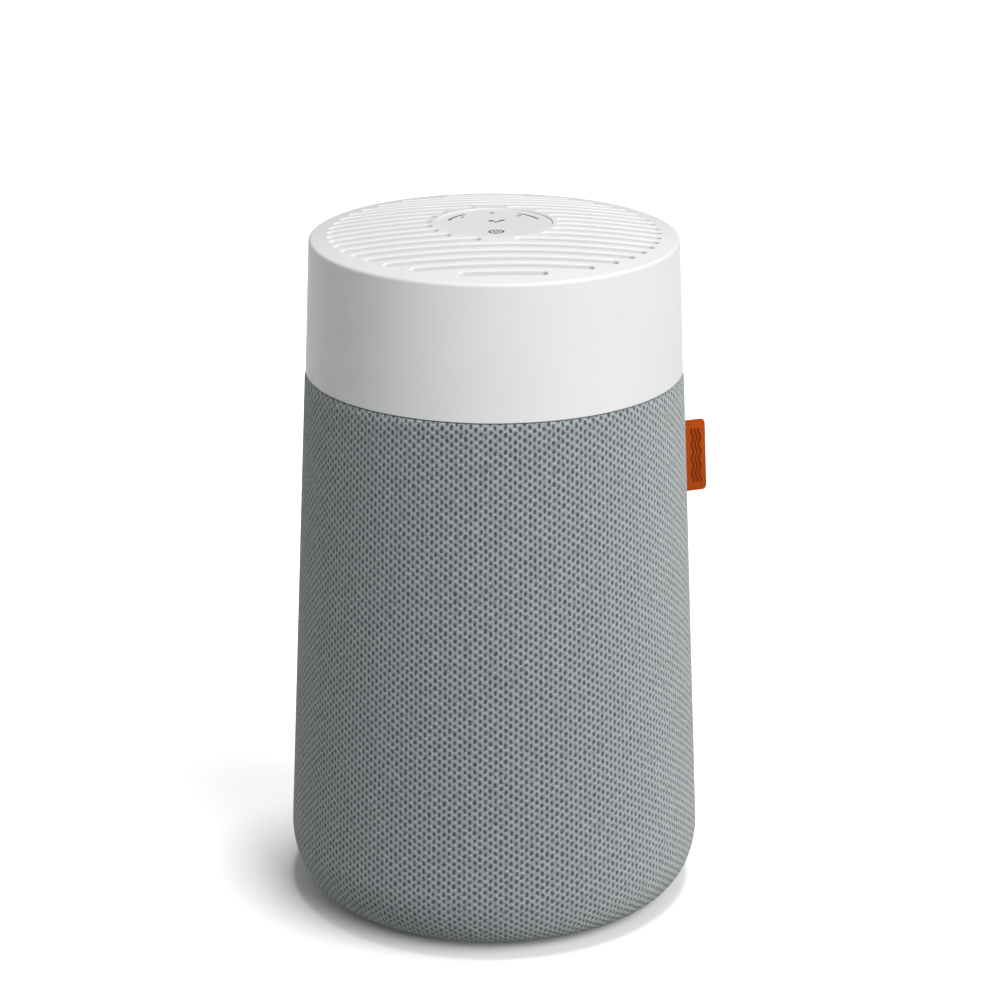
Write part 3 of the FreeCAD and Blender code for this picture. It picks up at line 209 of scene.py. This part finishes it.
def moulded_plastic(name, color, roughness, grain=0.00004, grain_scale=2600, variation=0.015):
    """Injection-moulded plastic: fine spark texture, faint cloudiness and uneven gloss."""
    graph = Graph(name, color, roughness, Specular_IOR_Level=0.35)
    cloud = graph.noise(14, 4)
    darker = [channel * (1 - variation) for channel in color]
    lighter = [min(1.0, channel * (1 + variation)) for channel in color]
    tint = graph.blend(graph.remap(cloud, 0.35, 0.65, 0, 1), darker, lighter)
    gloss = graph.remap(graph.noise(60, 3), 0.3, 0.7, roughness - 0.035, roughness + 0.035)
    texture = graph.noise(grain_scale, 2, 0.6)
    return graph.finish(tint, gloss, graph.bump(texture, 0.35, grain))


def brushed_metal(name, color, roughness, stretch=(1, 1, 24)):
    """Metal with fine tool marks and slightly uneven polish."""
    graph = Graph(name, color, roughness, Metallic=1.0)
    mapping = graph.add("ShaderNodeMapping")
    graph.wire(graph.place(), mapping.inputs["Vector"])
    mapping.inputs["Scale"].default_value = stretch
    marks = graph.noise(900, 3, 0.6, mapping.outputs["Vector"])
    gloss = graph.remap(marks, 0.3, 0.7, roughness * 0.8, roughness * 1.25)
    dull = [channel * 0.85 for channel in color]
    tint = graph.blend(graph.noise(120), dull, color)
    return graph.finish(tint, gloss, graph.bump(marks, 0.3, 0.00003))


def soft_rubber(name, color, roughness=0.62):
    """Matt elastomer with a fine bloom and grain."""
    graph = Graph(name, color, roughness, Specular_IOR_Level=0.35)
    lighter = [channel * 1.35 + 0.004 for channel in color]
    tint = graph.blend(graph.remap(graph.noise(260, 4), 0.4, 0.7, 0, 1), color, lighter)
    return graph.finish(tint, None, graph.bump(graph.noise(3200, 2), 0.4, 0.00005))


def smoked_lens(name, color):
    """Glossy dark lens with faint mould flow under a clear face."""
    graph = Graph(name, color, 0.16, Coat_Weight=0.5, Coat_Roughness=0.08)
    lighter = [channel * 1.5 for channel in color]
    return graph.finish(graph.blend(graph.noise(500, 2), color, lighter), None,
                        graph.bump(graph.noise(700, 1), 0.1, 0.00003))


def filter_paper(name, color):
    graph = Graph(name, color, 0.9, Sheen_Weight=0.2)
    fibres = graph.noise(1800, 5, 0.7)
    shade = [channel * 0.82 for channel in color]
    return graph.finish(graph.blend(fibres, shade, color), None, graph.bump(fibres, 0.6, 0.0001))


def circuit_board(name):
    """Green solder mask with paler copper tracks running under it."""
    graph = Graph(name, (0.02, 0.12, 0.05), 0.35, Coat_Weight=0.3)
    tracks = graph.add("ShaderNodeTexBrick")
    graph.wire(graph.place(), tracks.inputs["Vector"])
    tracks.inputs["Scale"].default_value = 160
    tracks.inputs["Mortar Size"].default_value = 0.03
    tint = graph.blend(tracks.outputs["Fac"], (0.02, 0.12, 0.05), (0.06, 0.26, 0.12))
    return graph.finish(tint, None, graph.bump(tracks.outputs["Fac"], 0.3, 0.00003))


def knitted_cloth(name):
    """Knit of grey yarn whose holes are painted dark: painted shade standing for the shadowed gaps
    between the loops. Its map's U counts columns of holes and V counts rows, so the painted-shade holes
    and the plump yarn crossings fall where the mesh dips and rises."""
    graph = Graph(name, (0.40, 0.44, 0.45), 0.85, Sheen_Weight=0.6, Sheen_Roughness=0.5,
                  Specular_IOR_Level=0.25)
    where = graph.add("ShaderNodeUVMap", uv_map="knit")
    wander = graph.add("ShaderNodeTexNoise")
    wander.inputs["Scale"].default_value = 230
    wander.inputs["Detail"].default_value = 2
    graph.wire(graph.place(), wander.inputs["Vector"])
    parts = graph.add("ShaderNodeSeparateXYZ")
    graph.wire(where.outputs["UV"], parts.inputs["Vector"])
    stray = graph.add("ShaderNodeSeparateXYZ")
    graph.wire(wander.outputs["Color"], stray.inputs["Vector"])
    column = graph.math("ADD", parts.outputs["X"], graph.remap(stray.outputs["X"], 0, 1, -0.30, 0.30))
    row = graph.math("ADD", parts.outputs["Y"], graph.remap(stray.outputs["Y"], 0, 1, -0.24, 0.24))
    cosines = (graph.math("COSINE", graph.math("MULTIPLY", column, math.pi)),
               graph.math("COSINE", graph.math("MULTIPLY", row, 2 * math.pi)))
    cells = []
    for sign in (1, -1):
        across = graph.remap(cosines[0], -sign, sign, 0, 1)
        along = graph.remap(cosines[1], -sign, sign, 0, 1)
        cells.append(graph.math("MULTIPLY", graph.math("POWER", across, HOLE_NARROW),
                                graph.math("POWER", along, HOLE_TALL)))
    cell = graph.math("ADD", cells[0], cells[1])

    # Plied yarn: fine diagonal strands, and a soft fuzz
    strand_phase = graph.math("ADD", graph.math("MULTIPLY", column, 5.0),
                              graph.math("MULTIPLY", row, 9.0))
    strand = graph.math("SINE", graph.math("MULTIPLY", strand_phase, 2 * math.pi))
    fuzz = graph.noise(2600, 3, 0.65)
    uneven = graph.noise(420, 3, 0.6)

    # The hole mask below carries painted shade into the holes.
    hole = graph.add("ShaderNodeMapRange", interpolation_type="SMOOTHSTEP")
    ragged = graph.math("ADD", cell, graph.remap(uneven, 0.3, 0.7, -0.24, 0.24))
    graph.wire(ragged, hole.inputs["Value"])
    hole.inputs["From Min"].default_value = 0.08
    hole.inputs["From Max"].default_value = 0.88
    yarn = graph.blend(graph.remap(uneven, 0.32, 0.68, 0, 1),
                       (0.198, 0.236, 0.250), (0.665, 0.702, 0.718))
    flecked = graph.blend(graph.remap(strand, -1, 1, 0.0, 0.22), yarn, (0.66, 0.675, 0.675))
    fleck = graph.blend(graph.remap(fuzz, 0.35, 0.7, 0.0, 0.35), flecked, (0.27, 0.31, 0.32))
    # Painted shade: the holes are darkened to stand for the shade inside the knit's gaps, where the
    # mesh only dips.
    tint = graph.blend(hole.outputs["Result"], fleck, (0.052, 0.078, 0.085))

    relief = graph.math("MULTIPLY", cell, -1.0)
    height = graph.math("ADD", relief, graph.math("MULTIPLY", strand, 0.12))
    normal = graph.bump(height, 0.9, 0.0005)
    return graph.finish(tint, None, graph.bump(fuzz, 0.5, 0.00012, normal))


def tag_rubber(name, color):
    """Satin moulded tag with a fine leather-like grain."""
    graph = Graph(name, color, 0.6, Specular_IOR_Level=0.15)
    grain = graph.add("ShaderNodeTexVoronoi")
    graph.wire(graph.place(), grain.inputs["Vector"])
    grain.inputs["Scale"].default_value = 1100
    shade = [channel * 0.86 for channel in color]
    tint = graph.blend(graph.noise(300, 3), shade, color)
    return graph.finish(tint, None, graph.bump(grain.outputs["Distance"], 0.25, 0.00008))


def make_materials():
    """One material for each of the record's slots, and two inks."""
    return {
        "white_shell": moulded_plastic("white_shell", (0.83, 0.83, 0.828), 0.50),
        "panel_grey": moulded_plastic("panel_grey", (0.815, 0.82, 0.82), 0.46, 0.00003),
        "smoked_lens": smoked_lens("smoked_lens", (0.045, 0.050, 0.055)),
        "grey_fabric": knitted_cloth("grey_fabric"),
        "orange_tag": tag_rubber("orange_tag", (0.49, 0.077, 0.001)),
        "frame_plastic": moulded_plastic("frame_plastic", (0.10, 0.11, 0.115), 0.50),
        "inner_plastic": moulded_plastic("inner_plastic", (0.74, 0.74, 0.73), 0.48),
        "fan_plastic": moulded_plastic("fan_plastic", (0.66, 0.67, 0.68), 0.42),
        "base_plastic": moulded_plastic("base_plastic", (0.78, 0.78, 0.775), 0.50, 0.00007, 1800),
        "inlet_plastic": moulded_plastic("inlet_plastic", (0.78, 0.78, 0.775), 0.38),
        "black_plastic": moulded_plastic("black_plastic", (0.028, 0.028, 0.030), 0.45),
        "lead_grey": soft_rubber("lead_grey", (0.22, 0.22, 0.23)),
        "board_green": circuit_board("board_green"),
        "steel": brushed_metal("steel", (0.62, 0.62, 0.63), 0.30),
        "magnet": brushed_metal("magnet", (0.12, 0.12, 0.13), 0.55),
        "brass": brushed_metal("brass", (0.78, 0.56, 0.25), 0.28),
        "aluminium": brushed_metal("aluminium", (0.74, 0.74, 0.75), 0.36),
        "rubber": soft_rubber("rubber", (0.045, 0.045, 0.048)),
        "gasket": soft_rubber("gasket", (0.10, 0.10, 0.10), 0.85),
        "filter_paper": filter_paper("filter_paper", (0.84, 0.84, 0.82)),
        "carbon": filter_paper("carbon", (0.03, 0.03, 0.03)),
        "filter_ring": moulded_plastic("filter_ring", (0.10, 0.20, 0.34), 0.45),
        "panel_print": moulded_plastic("panel_print", (0.065, 0.068, 0.072), 0.55),
        "tag_print": tag_rubber("tag_print", (0.22, 0.024, 0.001)),
    }


def paint_nodes(materials):
    for subpart in frame["record"]["subparts"]:
        for material_slot in frame["nodes"][subpart["node"]].material_slots:
            material_slot.material = materials[subpart["material_slot"]]


# ------------------------------------------------------------------ mesh helpers

def new_piece(name, vertices, faces, material, body, smooth=True):
    mesh = bpy.data.meshes.new(name)
    mesh.from_pydata(vertices, [], faces)
    mesh.validate()
    mesh.shade_smooth() if smooth else mesh.shade_flat()
    mesh.materials.append(material)
    piece = bpy.data.objects.new(name, mesh)
    bpy.context.scene.collection.objects.link(piece)
    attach(piece, body)
    return piece


def rounded_solid(name, outline, low, high, bevel, material, body, place):
    """Solid between low and high over a closed outline, with all its edges rounded.
    place(x, y, z) turns the outline's own coordinates into the frame's."""
    count = len(outline)
    vertices = [place(x, y, low) for x, y in outline] + [place(x, y, high) for x, y in outline]
    sides = [(i, (i + 1) % count, count + (i + 1) % count, count + i) for i in range(count)]
    faces = [tuple(reversed(range(count))), tuple(range(count, 2 * count))] + sides
    piece = new_piece(name, vertices, faces, material, body)
    work = bmesh.new()
    work.from_mesh(piece.data)
    bmesh.ops.recalc_face_normals(work, faces=work.faces)
    sharp = [edge for edge in work.edges if edge.calc_face_angle(0) > math.radians(40)]
    bmesh.ops.bevel(work, geom=sharp, offset=bevel, segments=3, profile=0.5, affect="EDGES")
    work.to_mesh(piece.data)
    work.free()
    piece.data.shade_smooth()
    return piece


def arc_points(centre, radius, start_deg, end_deg, steps=24):
    angles = [math.radians(start_deg + (end_deg - start_deg) * i / steps) for i in range(steps + 1)]
    return [(centre[0] + radius * math.cos(a), centre[1] + radius * math.sin(a)) for a in angles]


def stroke(points, width, round_ends=True):
    """Closed outline of a drawn line of that width."""
    left, right = [], []
    last = len(points) - 1
    for i, (x, y) in enumerate(points):
        x0, y0 = points[max(i - 1, 0)]
        x1, y1 = points[min(i + 1, last)]
        length = math.hypot(x1 - x0, y1 - y0)
        across = ((y0 - y1) / length * width / 2, (x1 - x0) / length * width / 2)
        left.append((x + across[0], y + across[1]))
        right.append((x - across[0], y - across[1]))
    if not round_ends:
        return left + right[::-1]

    def cap(centre, edge):
        start = math.degrees(math.atan2(edge[1] - centre[1], edge[0] - centre[0]))
        return arc_points(centre, width / 2, start, start - 180, 6)[1:-1]

    return left + cap(points[-1], left[-1]) + right[::-1] + cap(points[0], right[0])


def as_it_is(x, y, z):
    """Place of an outline that is already drawn in the frame's coordinates."""
    return (x, y, z)


def flat_marks(name, outlines, low, high, material, body, place):
    """Thin solids over closed outlines. place(x, y, z) turns their coordinates into the frame's."""
    vertices, faces = [], []
    for outline in outlines:
        start, count = len(vertices), len(outline)
        vertices += [place(x, y, low) for x, y in outline] + [place(x, y, high) for x, y in outline]
        faces.append(tuple(start + i for i in reversed(range(count))))
        faces.append(tuple(start + count + i for i in range(count)))
        for i in range(count):
            after = (i + 1) % count
            faces.append((start + i, start + after, start + count + after, start + count + i))
    piece = new_piece(name, vertices, faces, material, body, smooth=False)
    work = bmesh.new()
    work.from_mesh(piece.data)
    bmesh.ops.recalc_face_normals(work, faces=work.faces)
    work.to_mesh(piece.data)
    work.free()
    return piece


# ------------------------------------------------------------------ knitted sleeve

def sleeve_outline():
    """Points (radius, z) down the outside of the sleeve, from the top hem to the base hem."""
    corner_radius = BODY_RADIUS - CORNER_WIDTH
    corner_z = SLEEVE_LOW.z + CORNER_HEIGHT
    points = []
    for i in range(STRAIGHT_ROWS):
        share = i / STRAIGHT_ROWS
        points.append((SLEEVE_TOP_RADIUS + (BODY_RADIUS - SLEEVE_TOP_RADIUS) * share,
                       SLEEVE_HIGH.z + (corner_z - SLEEVE_HIGH.z) * share))
    for i in range(CORNER_ROWS + 1):
        angle = math.pi / 2 * i / CORNER_ROWS
        points.append((corner_radius + CORNER_WIDTH * math.cos(angle),
                       corner_z - CORNER_HEIGHT * math.sin(angle)))
    return points


def outline_lengths(points):
    lengths = [0.0]
    for (r0, z0), (r1, z1) in zip(points, points[1:]):
        lengths.append(lengths[-1] + math.hypot(r1 - r0, z1 - z0))
    return lengths


def outline_normals(points):
    normals = []
    for i in range(len(points)):
        r0, z0 = points[max(i - 1, 0)]
        r1, z1 = points[min(i + 1, len(points) - 1)]
        length = math.hypot(r1 - r0, z1 - z0)
        normals.append(((z0 - z1) / length, (r1 - r0) / length))
    return normals


def smoothstep(low, high, value):
    share = min(max((value - low) / (high - low), 0.0), 1.0)
    return share * share * (3 - 2 * share)


def hole_shape(column, row):
    """1 in the middle of a hole, 0 between holes. They stand at whole rows in even columns and
    half a row lower in odd ones, and are taller than they are wide."""
    even = 0.5 + 0.5 * math.cos(math.pi * column)
    whole = 0.5 + 0.5 * math.cos(2 * math.pi * row)
    return (even ** HOLE_NARROW * whole ** HOLE_TALL
            + (1 - even) ** HOLE_NARROW * (1 - whole) ** HOLE_TALL)


def make_sleeve(material):
    """Closed tube of cloth: a knitted outer face, turned hems and a plain inner face."""
    outline = sleeve_outline()
    lengths = outline_lengths(outline)
    normals = outline_normals(outline)
    around = 2 * COLUMNS
    rings = []
    for (radius, z), length, normal in zip(outline, lengths, normals):
        edge = min(length, lengths[-1] - length)
        rings.append((radius, z, length, normal, smoothstep(0.0, HEM_FADE, edge)))
    vertices, maps = [], []
    for radius, z, length, normal, fade in rings:
        for i in range(around):
            column = i / 2
            row = length / COURSE + COURSE_LEAN * column
            from_seam = min(column, COLUMNS - column)
            knit = HOLE_DEPTH * hole_shape(column, row) * smoothstep(0.4, 1.6, from_seam)
            groove = SEAM_DEPTH * (1 - smoothstep(0.0, 0.8, from_seam))
            depth = (knit + groove) * fade + TURNED_HEM * (1 - fade)
            angle = 2 * math.pi * i / around
            r = radius - normal[0] * depth
            vertices.append((r * math.cos(angle), r * math.sin(angle), z - normal[1] * depth))
    inner = [(radius - normal[0] * CLOTH_THICKNESS, z - normal[1] * CLOTH_THICKNESS, length)
             for radius, z, length, normal, _ in rings[::-12]]
    base_hem = [(HEM_INNER_RADIUS, SLEEVE_LOW.z + 0.0004, lengths[-1] + 0.002),
                (HEM_INNER_RADIUS, SLEEVE_LOW.z + CLOTH_THICKNESS, lengths[-1] + 0.004)]
    if inner[-1][2] > 0.0:
        top = rings[0]
        inner.append((top[0] - CLOTH_THICKNESS, top[1], 0.0))
    for radius, z, _ in base_hem + inner:
        for i in range(around):
            angle = 2 * math.pi * i / around
            vertices.append((radius * math.cos(angle), radius * math.sin(angle), z))
    ring_lengths = [ring[2] for ring in rings] + [item[2] for item in base_hem + inner]
    faces = []
    count = len(ring_lengths)
    for j in range(count):
        for i in range(around):
            after, below = (i + 1) % around, (j + 1) % count
            faces.append((j * around + i, below * around + i,
                          below * around + after, j * around + after))
            maps.append((i, i, i + 1, i + 1, j, below, below, j))
    piece = new_piece("knit_sleeve", vertices, faces, material, "housing")
    layer = piece.data.uv_layers.new(name="knit")
    values = []
    for i0, i1, i2, i3, j0, j1, j2, j3 in maps:
        for i, j in ((i0, j0), (i1, j1), (i2, j2), (i3, j3)):
            column = i / 2
            values += [column, ring_lengths[j] / COURSE + COURSE_LEAN * column]
    layer.data.foreach_set("uv", values)
    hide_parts("fabric_sleeve")
    make_stitches(outline, lengths, normals, material)


def stitch(vertices, faces, start, end, out):
    """Adds a plump thread from start to end, half sunk into the cloth that faces out."""
    along = (end - start).normalized()
    side = along.cross(out).normalized()
    first = len(vertices)
    sides = 6
    for share, swell in ((0.0, 0.35), (0.12, 0.85), (0.5, 1.15), (0.88, 0.85), (1.0, 0.35)):
        centre = start.lerp(end, share) + out * STITCH_RADIUS * (1.5 * math.sin(math.pi * share) - 0.7)
        for k in range(sides):
            angle = 2 * math.pi * k / sides
            spoke = side * math.cos(angle) + out * math.sin(angle)
            vertices.append(centre + spoke * STITCH_RADIUS * swell)
    for ring in range(4):
        for k in range(sides):
            a, b = first + ring * sides + k, first + ring * sides + (k + 1) % sides
            faces.append((a, b, b + sides, a + sides))
    faces.append(tuple(first + k for k in reversed(range(sides))))
    faces.append(tuple(first + 4 * sides + k for k in range(sides)))


def make_stitches(outline, lengths, normals, material):
    """Two rows of thread beside the side seam, and one round the hem under the tower."""
    vertices, faces = [], []

    def on_cloth(length, angle):
        i = max(k for k in range(len(lengths)) if lengths[k] <= length)
        radius, z = outline[i]
        normal = normals[i]
        out = Vector((normal[0] * math.cos(angle), normal[0] * math.sin(angle), normal[1]))
        on_face = Vector((radius * math.cos(angle), radius * math.sin(angle), z))
        return on_face - out * HOLE_DEPTH * 0.4, out

    for sign in (-1, 1):
        angle = sign * SEAM_TO_STITCH / BODY_RADIUS
        for k in range(int((lengths[-1] - 0.012) / STITCH_PITCH)):
            low, out = on_cloth(0.006 + k * STITCH_PITCH, angle)
            high, _ = on_cloth(0.006 + k * STITCH_PITCH + STITCH_LENGTH, angle)
            stitch(vertices, faces, low, high, out)
    radius, count = HEM_INNER_RADIUS + 0.0012, 120
    down = Vector((0, 0, -1))
    for k in range(count):
        ends = []
        for share in (0.0, STITCH_LENGTH / STITCH_PITCH):
            angle = 2 * math.pi * (k + share) / count
            ends.append(Vector((radius * math.cos(angle), radius * math.sin(angle),
                                SLEEVE_LOW.z + 0.0004)))
        stitch(vertices, faces, ends[0], ends[1], down)
    threads = new_piece("sleeve_stitches", vertices, faces, material, "housing")
    return threads


# ------------------------------------------------------------------ side tag

def body_radius_at(z):
    share = (SLEEVE_HIGH.z - z) / (SLEEVE_HIGH.z - SLEEVE_LOW.z - CORNER_HEIGHT)
    return SLEEVE_TOP_RADIUS + (BODY_RADIUS - SLEEVE_TOP_RADIUS) * share


def on_tag(x, z, across):
    """A point of an upright tag in the XZ plane, after it leans back about its root."""
    root = body_radius_at((TAG_LOW.z + TAG_HIGH.z) / 2)
    return (root + (x - root) * math.cos(TAG_LEAN) - across * math.sin(TAG_LEAN),
            (x - root) * math.sin(TAG_LEAN) + across * math.cos(TAG_LEAN), z)


def make_tag(materials):
    """Orange tag with soft edges. Three printed waves on each side stand for moving air."""
    corner, half = TAG_CORNER, TAG_THICKNESS / 2
    low_z, high_z = TAG_LOW.z, TAG_HIGH.z
    edge_low = body_radius_at(low_z) + TAG_PROUD
    edge_high = body_radius_at(high_z) + TAG_PROUD
    outline = [(body_radius_at(low_z) - TAG_ROOT, low_z)]
    outline += arc_points((edge_low - corner, low_z + corner), corner, -90, 0, 8)
    outline += arc_points((edge_high - corner, high_z - corner), corner, 0, 90, 8)
    outline.append((body_radius_at(high_z) - TAG_ROOT, high_z))
    tag = rounded_solid("tag_label", outline, -half, half, TAG_EDGE, materials["orange_tag"],
                        "housing", on_tag)
    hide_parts("side_tag")

    waves = []
    middle_z = (low_z + high_z) / 2
    for offset in (-WAVE_SPACING, 0.0, WAVE_SPACING):
        points = []
        for step in range(61):
            along = WAVE_REACH * (step / 30 - 1)
            radius = body_radius_at(middle_z + along) + TAG_PROUD - WAVE_FROM_EDGE
            points.append((radius + offset + WAVE_SWING * math.sin(along * 620), middle_z + along))
        waves.append(stroke(points, WAVE_WIDTH))
    for name, side in (("tag_waves_front", -1), ("tag_waves_rear", 1)):
        marks = flat_marks(name, waves, side * (half - 0.0001), side * (half + 0.00012),
                           materials["tag_print"], "housing", on_tag)


# ------------------------------------------------------------------ marks on the panel, key and base

def power_symbol(centre, radius):
    """An open ring with a short bar in its gap, in a full ring."""
    x, y = centre
    return [
        stroke(arc_points(centre, radius, 90 + 38, 450 - 38), 0.0008),
        stroke([(x, y + radius * 0.25), (x, y + radius * 1.2)], 0.0008),
        stroke(arc_points(centre, KEY_RING_RADIUS, 0.0, 359.9, 64), 0.0012, round_ends=False),
    ]


def make_panel_marks(materials):
    low, high = PANEL_HIGH.z - PRINT_SUNK, PANEL_HIGH.z + PRINT_PROUD
    centre = ((KEY_LOW.x + KEY_HIGH.x) / 2, (KEY_LOW.y + KEY_HIGH.y) / 2)
    key_marks = flat_marks("key_symbol", power_symbol(centre, 0.0019), low, high,
                           materials["panel_print"], "key", as_it_is)
    # A dash beside the middle lamp, and a small ring inside each light guide for slow and fast
    outlines = [stroke([(0.0006, 0.0024), (0.0034, 0.0050), (0.0066, 0.0082)], 0.0015)]
    for x, y, radius in ((-0.0198, 0.0168, 0.0009), (0.0172, 0.0191, 0.0013)):
        outlines.append(stroke(arc_points((x, y), radius, 0.0, 359.9), THIN_LINE, round_ends=False))
    panel_marks = flat_marks("panel_symbols", outlines, low, high,
                             materials["panel_print"], "housing", as_it_is)


def make_base_marks(materials):
    """Raised arrows and padlocks under the base: which way it twists open."""
    outlines = []
    radius = BASE_MARK_RADIUS
    for start in (0, 180):
        points = arc_points((0, 0), radius, start + 14, start - 12)
        outlines.append(stroke(points, 0.0016, round_ends=False))
        head = math.radians(start - 12)
        tip = math.radians(start - 17)
        outlines.append([(r * math.cos(a), r * math.sin(a))
                         for r, a in ((radius + 0.0032, head), (radius, tip), (radius - 0.0032, head))])
        for turn, lift in ((21, 0.0), (-24, 0.0022)):
            outlines += padlock(math.radians(start + turn), radius, lift)
    marks = flat_marks("base_arrows", outlines, BASE_LOW.z - BASE_MARK_PROUD, BASE_LOW.z + 0.0002,
                       materials["base_plastic"], "base", as_it_is)


def padlock(angle, radius, lift):
    """A padlock standing outwards at that angle, with its shackle raised on one side by lift."""
    def turned(points):
        return [(x * math.cos(angle) - y * math.sin(angle), x * math.sin(angle) + y * math.cos(angle))
                for x, y in points]

    body = [(radius - 0.0028, -0.0028), (radius + 0.0012, -0.0028), (radius + 0.0012, 0.0028),
            (radius - 0.0028, 0.0028)]
    loop_x = radius + 0.0026 + lift
    loop = [(radius + 0.0006, -0.0017)] + arc_points((loop_x, 0), 0.0017, -90, 90, 12)
    loop.append((radius + 0.0006 + lift, 0.0017))
    return [turned(body), turned(stroke(loop, 0.0009, round_ends=False))]


# ------------------------------------------------------------------ surroundings, camera and light

def make_world():
    """Soft studio surround: bright overhead, dimmer round the sides, plain white to the eye."""
    world = bpy.data.worlds.new("studio")
    world.use_nodes = True
    tree = world.node_tree
    background = tree.nodes["Background"]
    coordinates = tree.nodes.new("ShaderNodeTexCoord")
    parts = tree.nodes.new("ShaderNodeSeparateXYZ")
    tree.links.new(coordinates.outputs["Generated"], parts.inputs["Vector"])
    height = tree.nodes.new("ShaderNodeMapRange")
    height.interpolation_type = "SMOOTHSTEP"
    tree.links.new(parts.outputs["Z"], height.inputs["Value"])
    limits = (0.0, 0.9, SIDE_SURROUND, TOP_SURROUND)
    for key, value in zip(("From Min", "From Max", "To Min", "To Max"), limits):
        height.inputs[key].default_value = value
    tree.links.new(height.outputs["Result"], background.inputs["Strength"])
    white = tree.nodes.new("ShaderNodeBackground")
    rays = tree.nodes.new("ShaderNodeLightPath")
    mix = tree.nodes.new("ShaderNodeMixShader")
    tree.links.new(rays.outputs["Is Camera Ray"], mix.inputs["Fac"])
    tree.links.new(background.outputs["Background"], mix.inputs[1])
    tree.links.new(white.outputs["Background"], mix.inputs[2])
    tree.links.new(mix.outputs["Shader"], tree.nodes["World Output"].inputs["Surface"])
    for node in (background, white):
        node.inputs["Color"].default_value = (1, 1, 1, 1)
    bpy.context.scene.world = world
    bpy.context.scene.view_settings.view_transform = "Standard"


def make_camera():
    camera = bpy.data.objects.new("camera", bpy.data.cameras.new("camera"))
    bpy.context.scene.collection.objects.link(camera)
    camera.data.sensor_width = 36
    camera.data.lens = FOCAL_LENGTH_MM
    camera.data.shift_x = FRAME_SHIFT
    camera.data.clip_end = 100
    turn = math.radians(CAMERA_TURN_DEG)
    camera.location = (-CAMERA_DISTANCE * math.sin(turn), -CAMERA_DISTANCE * math.cos(turn),
                       CAMERA_HEIGHT)
    camera.rotation_euler = (math.radians(90 - CAMERA_TILT_DEG), 0, -turn)
    bpy.context.scene.camera = camera


def aim_light(light, azimuth_deg, elevation_deg, distance):
    """Places a light round the middle of the object. Azimuth 0 is the front, 90 the tag's side."""
    azimuth, elevation = math.radians(azimuth_deg), math.radians(elevation_deg)
    offset = Vector((math.sin(azimuth) * math.cos(elevation), -math.cos(azimuth) * math.cos(elevation),
                     math.sin(elevation)))
    light.location = Vector((0, 0, SHELL_HIGH.z / 2)) + offset * distance
    light.rotation_euler = (-offset).to_track_quat("-Z", "Y").to_euler()


def new_light(name, kind, strength, receivers):
    """A light that shines only on what is in the collection of receivers."""
    light = bpy.data.objects.new(name, bpy.data.lights.new(name, kind))
    bpy.context.scene.collection.objects.link(light)
    light.data.energy = strength
    light.light_linking.receiver_collection = receivers
    return light


def make_floor():
    mesh = bpy.data.meshes.new("floor")
    reach = 12
    corners = [(-reach, -reach, 0), (reach, -reach, 0), (reach, reach, 0), (-reach, reach, 0)]
    mesh.from_pydata(corners, [], [(0, 1, 2, 3)])
    graph = Graph("floor_paper", (0.60, 0.60, 0.60), 0.9)
    tint = graph.blend(graph.noise(3, 2), (0.595, 0.595, 0.595), (0.605, 0.605, 0.605))
    mesh.materials.append(graph.finish(tint))
    floor = bpy.data.objects.new("floor", mesh)
    bpy.context.scene.collection.objects.link(floor)
    floor.visible_diffuse = False
    return floor


def make_lights(floor):
    """A soft key from the right for the object, and a wide one that shades the floor softly."""
    on_floor = bpy.data.collections.new("lit_by_floor_light")
    on_floor.objects.link(floor)
    on_object = bpy.data.collections.new("lit_by_key")
    for item in bpy.context.scene.objects:
        if item.type == "MESH" and item != floor:
            on_object.objects.link(item)
    key = new_light("key", "AREA", KEY_POWER, on_object)
    key.data.size = 1.2
    aim_light(key, 39 - CAMERA_TURN_DEG, 40, 3.0)
    overhead = new_light("floor_overhead", "SUN", FLOOR_OVERHEAD, on_floor)
    overhead.data.angle = math.radians(16)
    aim_light(overhead, 125, 82.5, 5.0)
    frontal = new_light("floor_frontal", "SUN", FLOOR_FRONTAL, on_floor)
    frontal.data.angle = math.radians(55)
    aim_light(frontal, 50, 35, 5.0)


materials = make_materials()
paint_nodes(materials)
make_camera()
make_sleeve(materials["grey_fabric"])
make_tag(materials)
make_panel_marks(materials)
make_base_marks(materials)
make_world()
make_lights(make_floor())
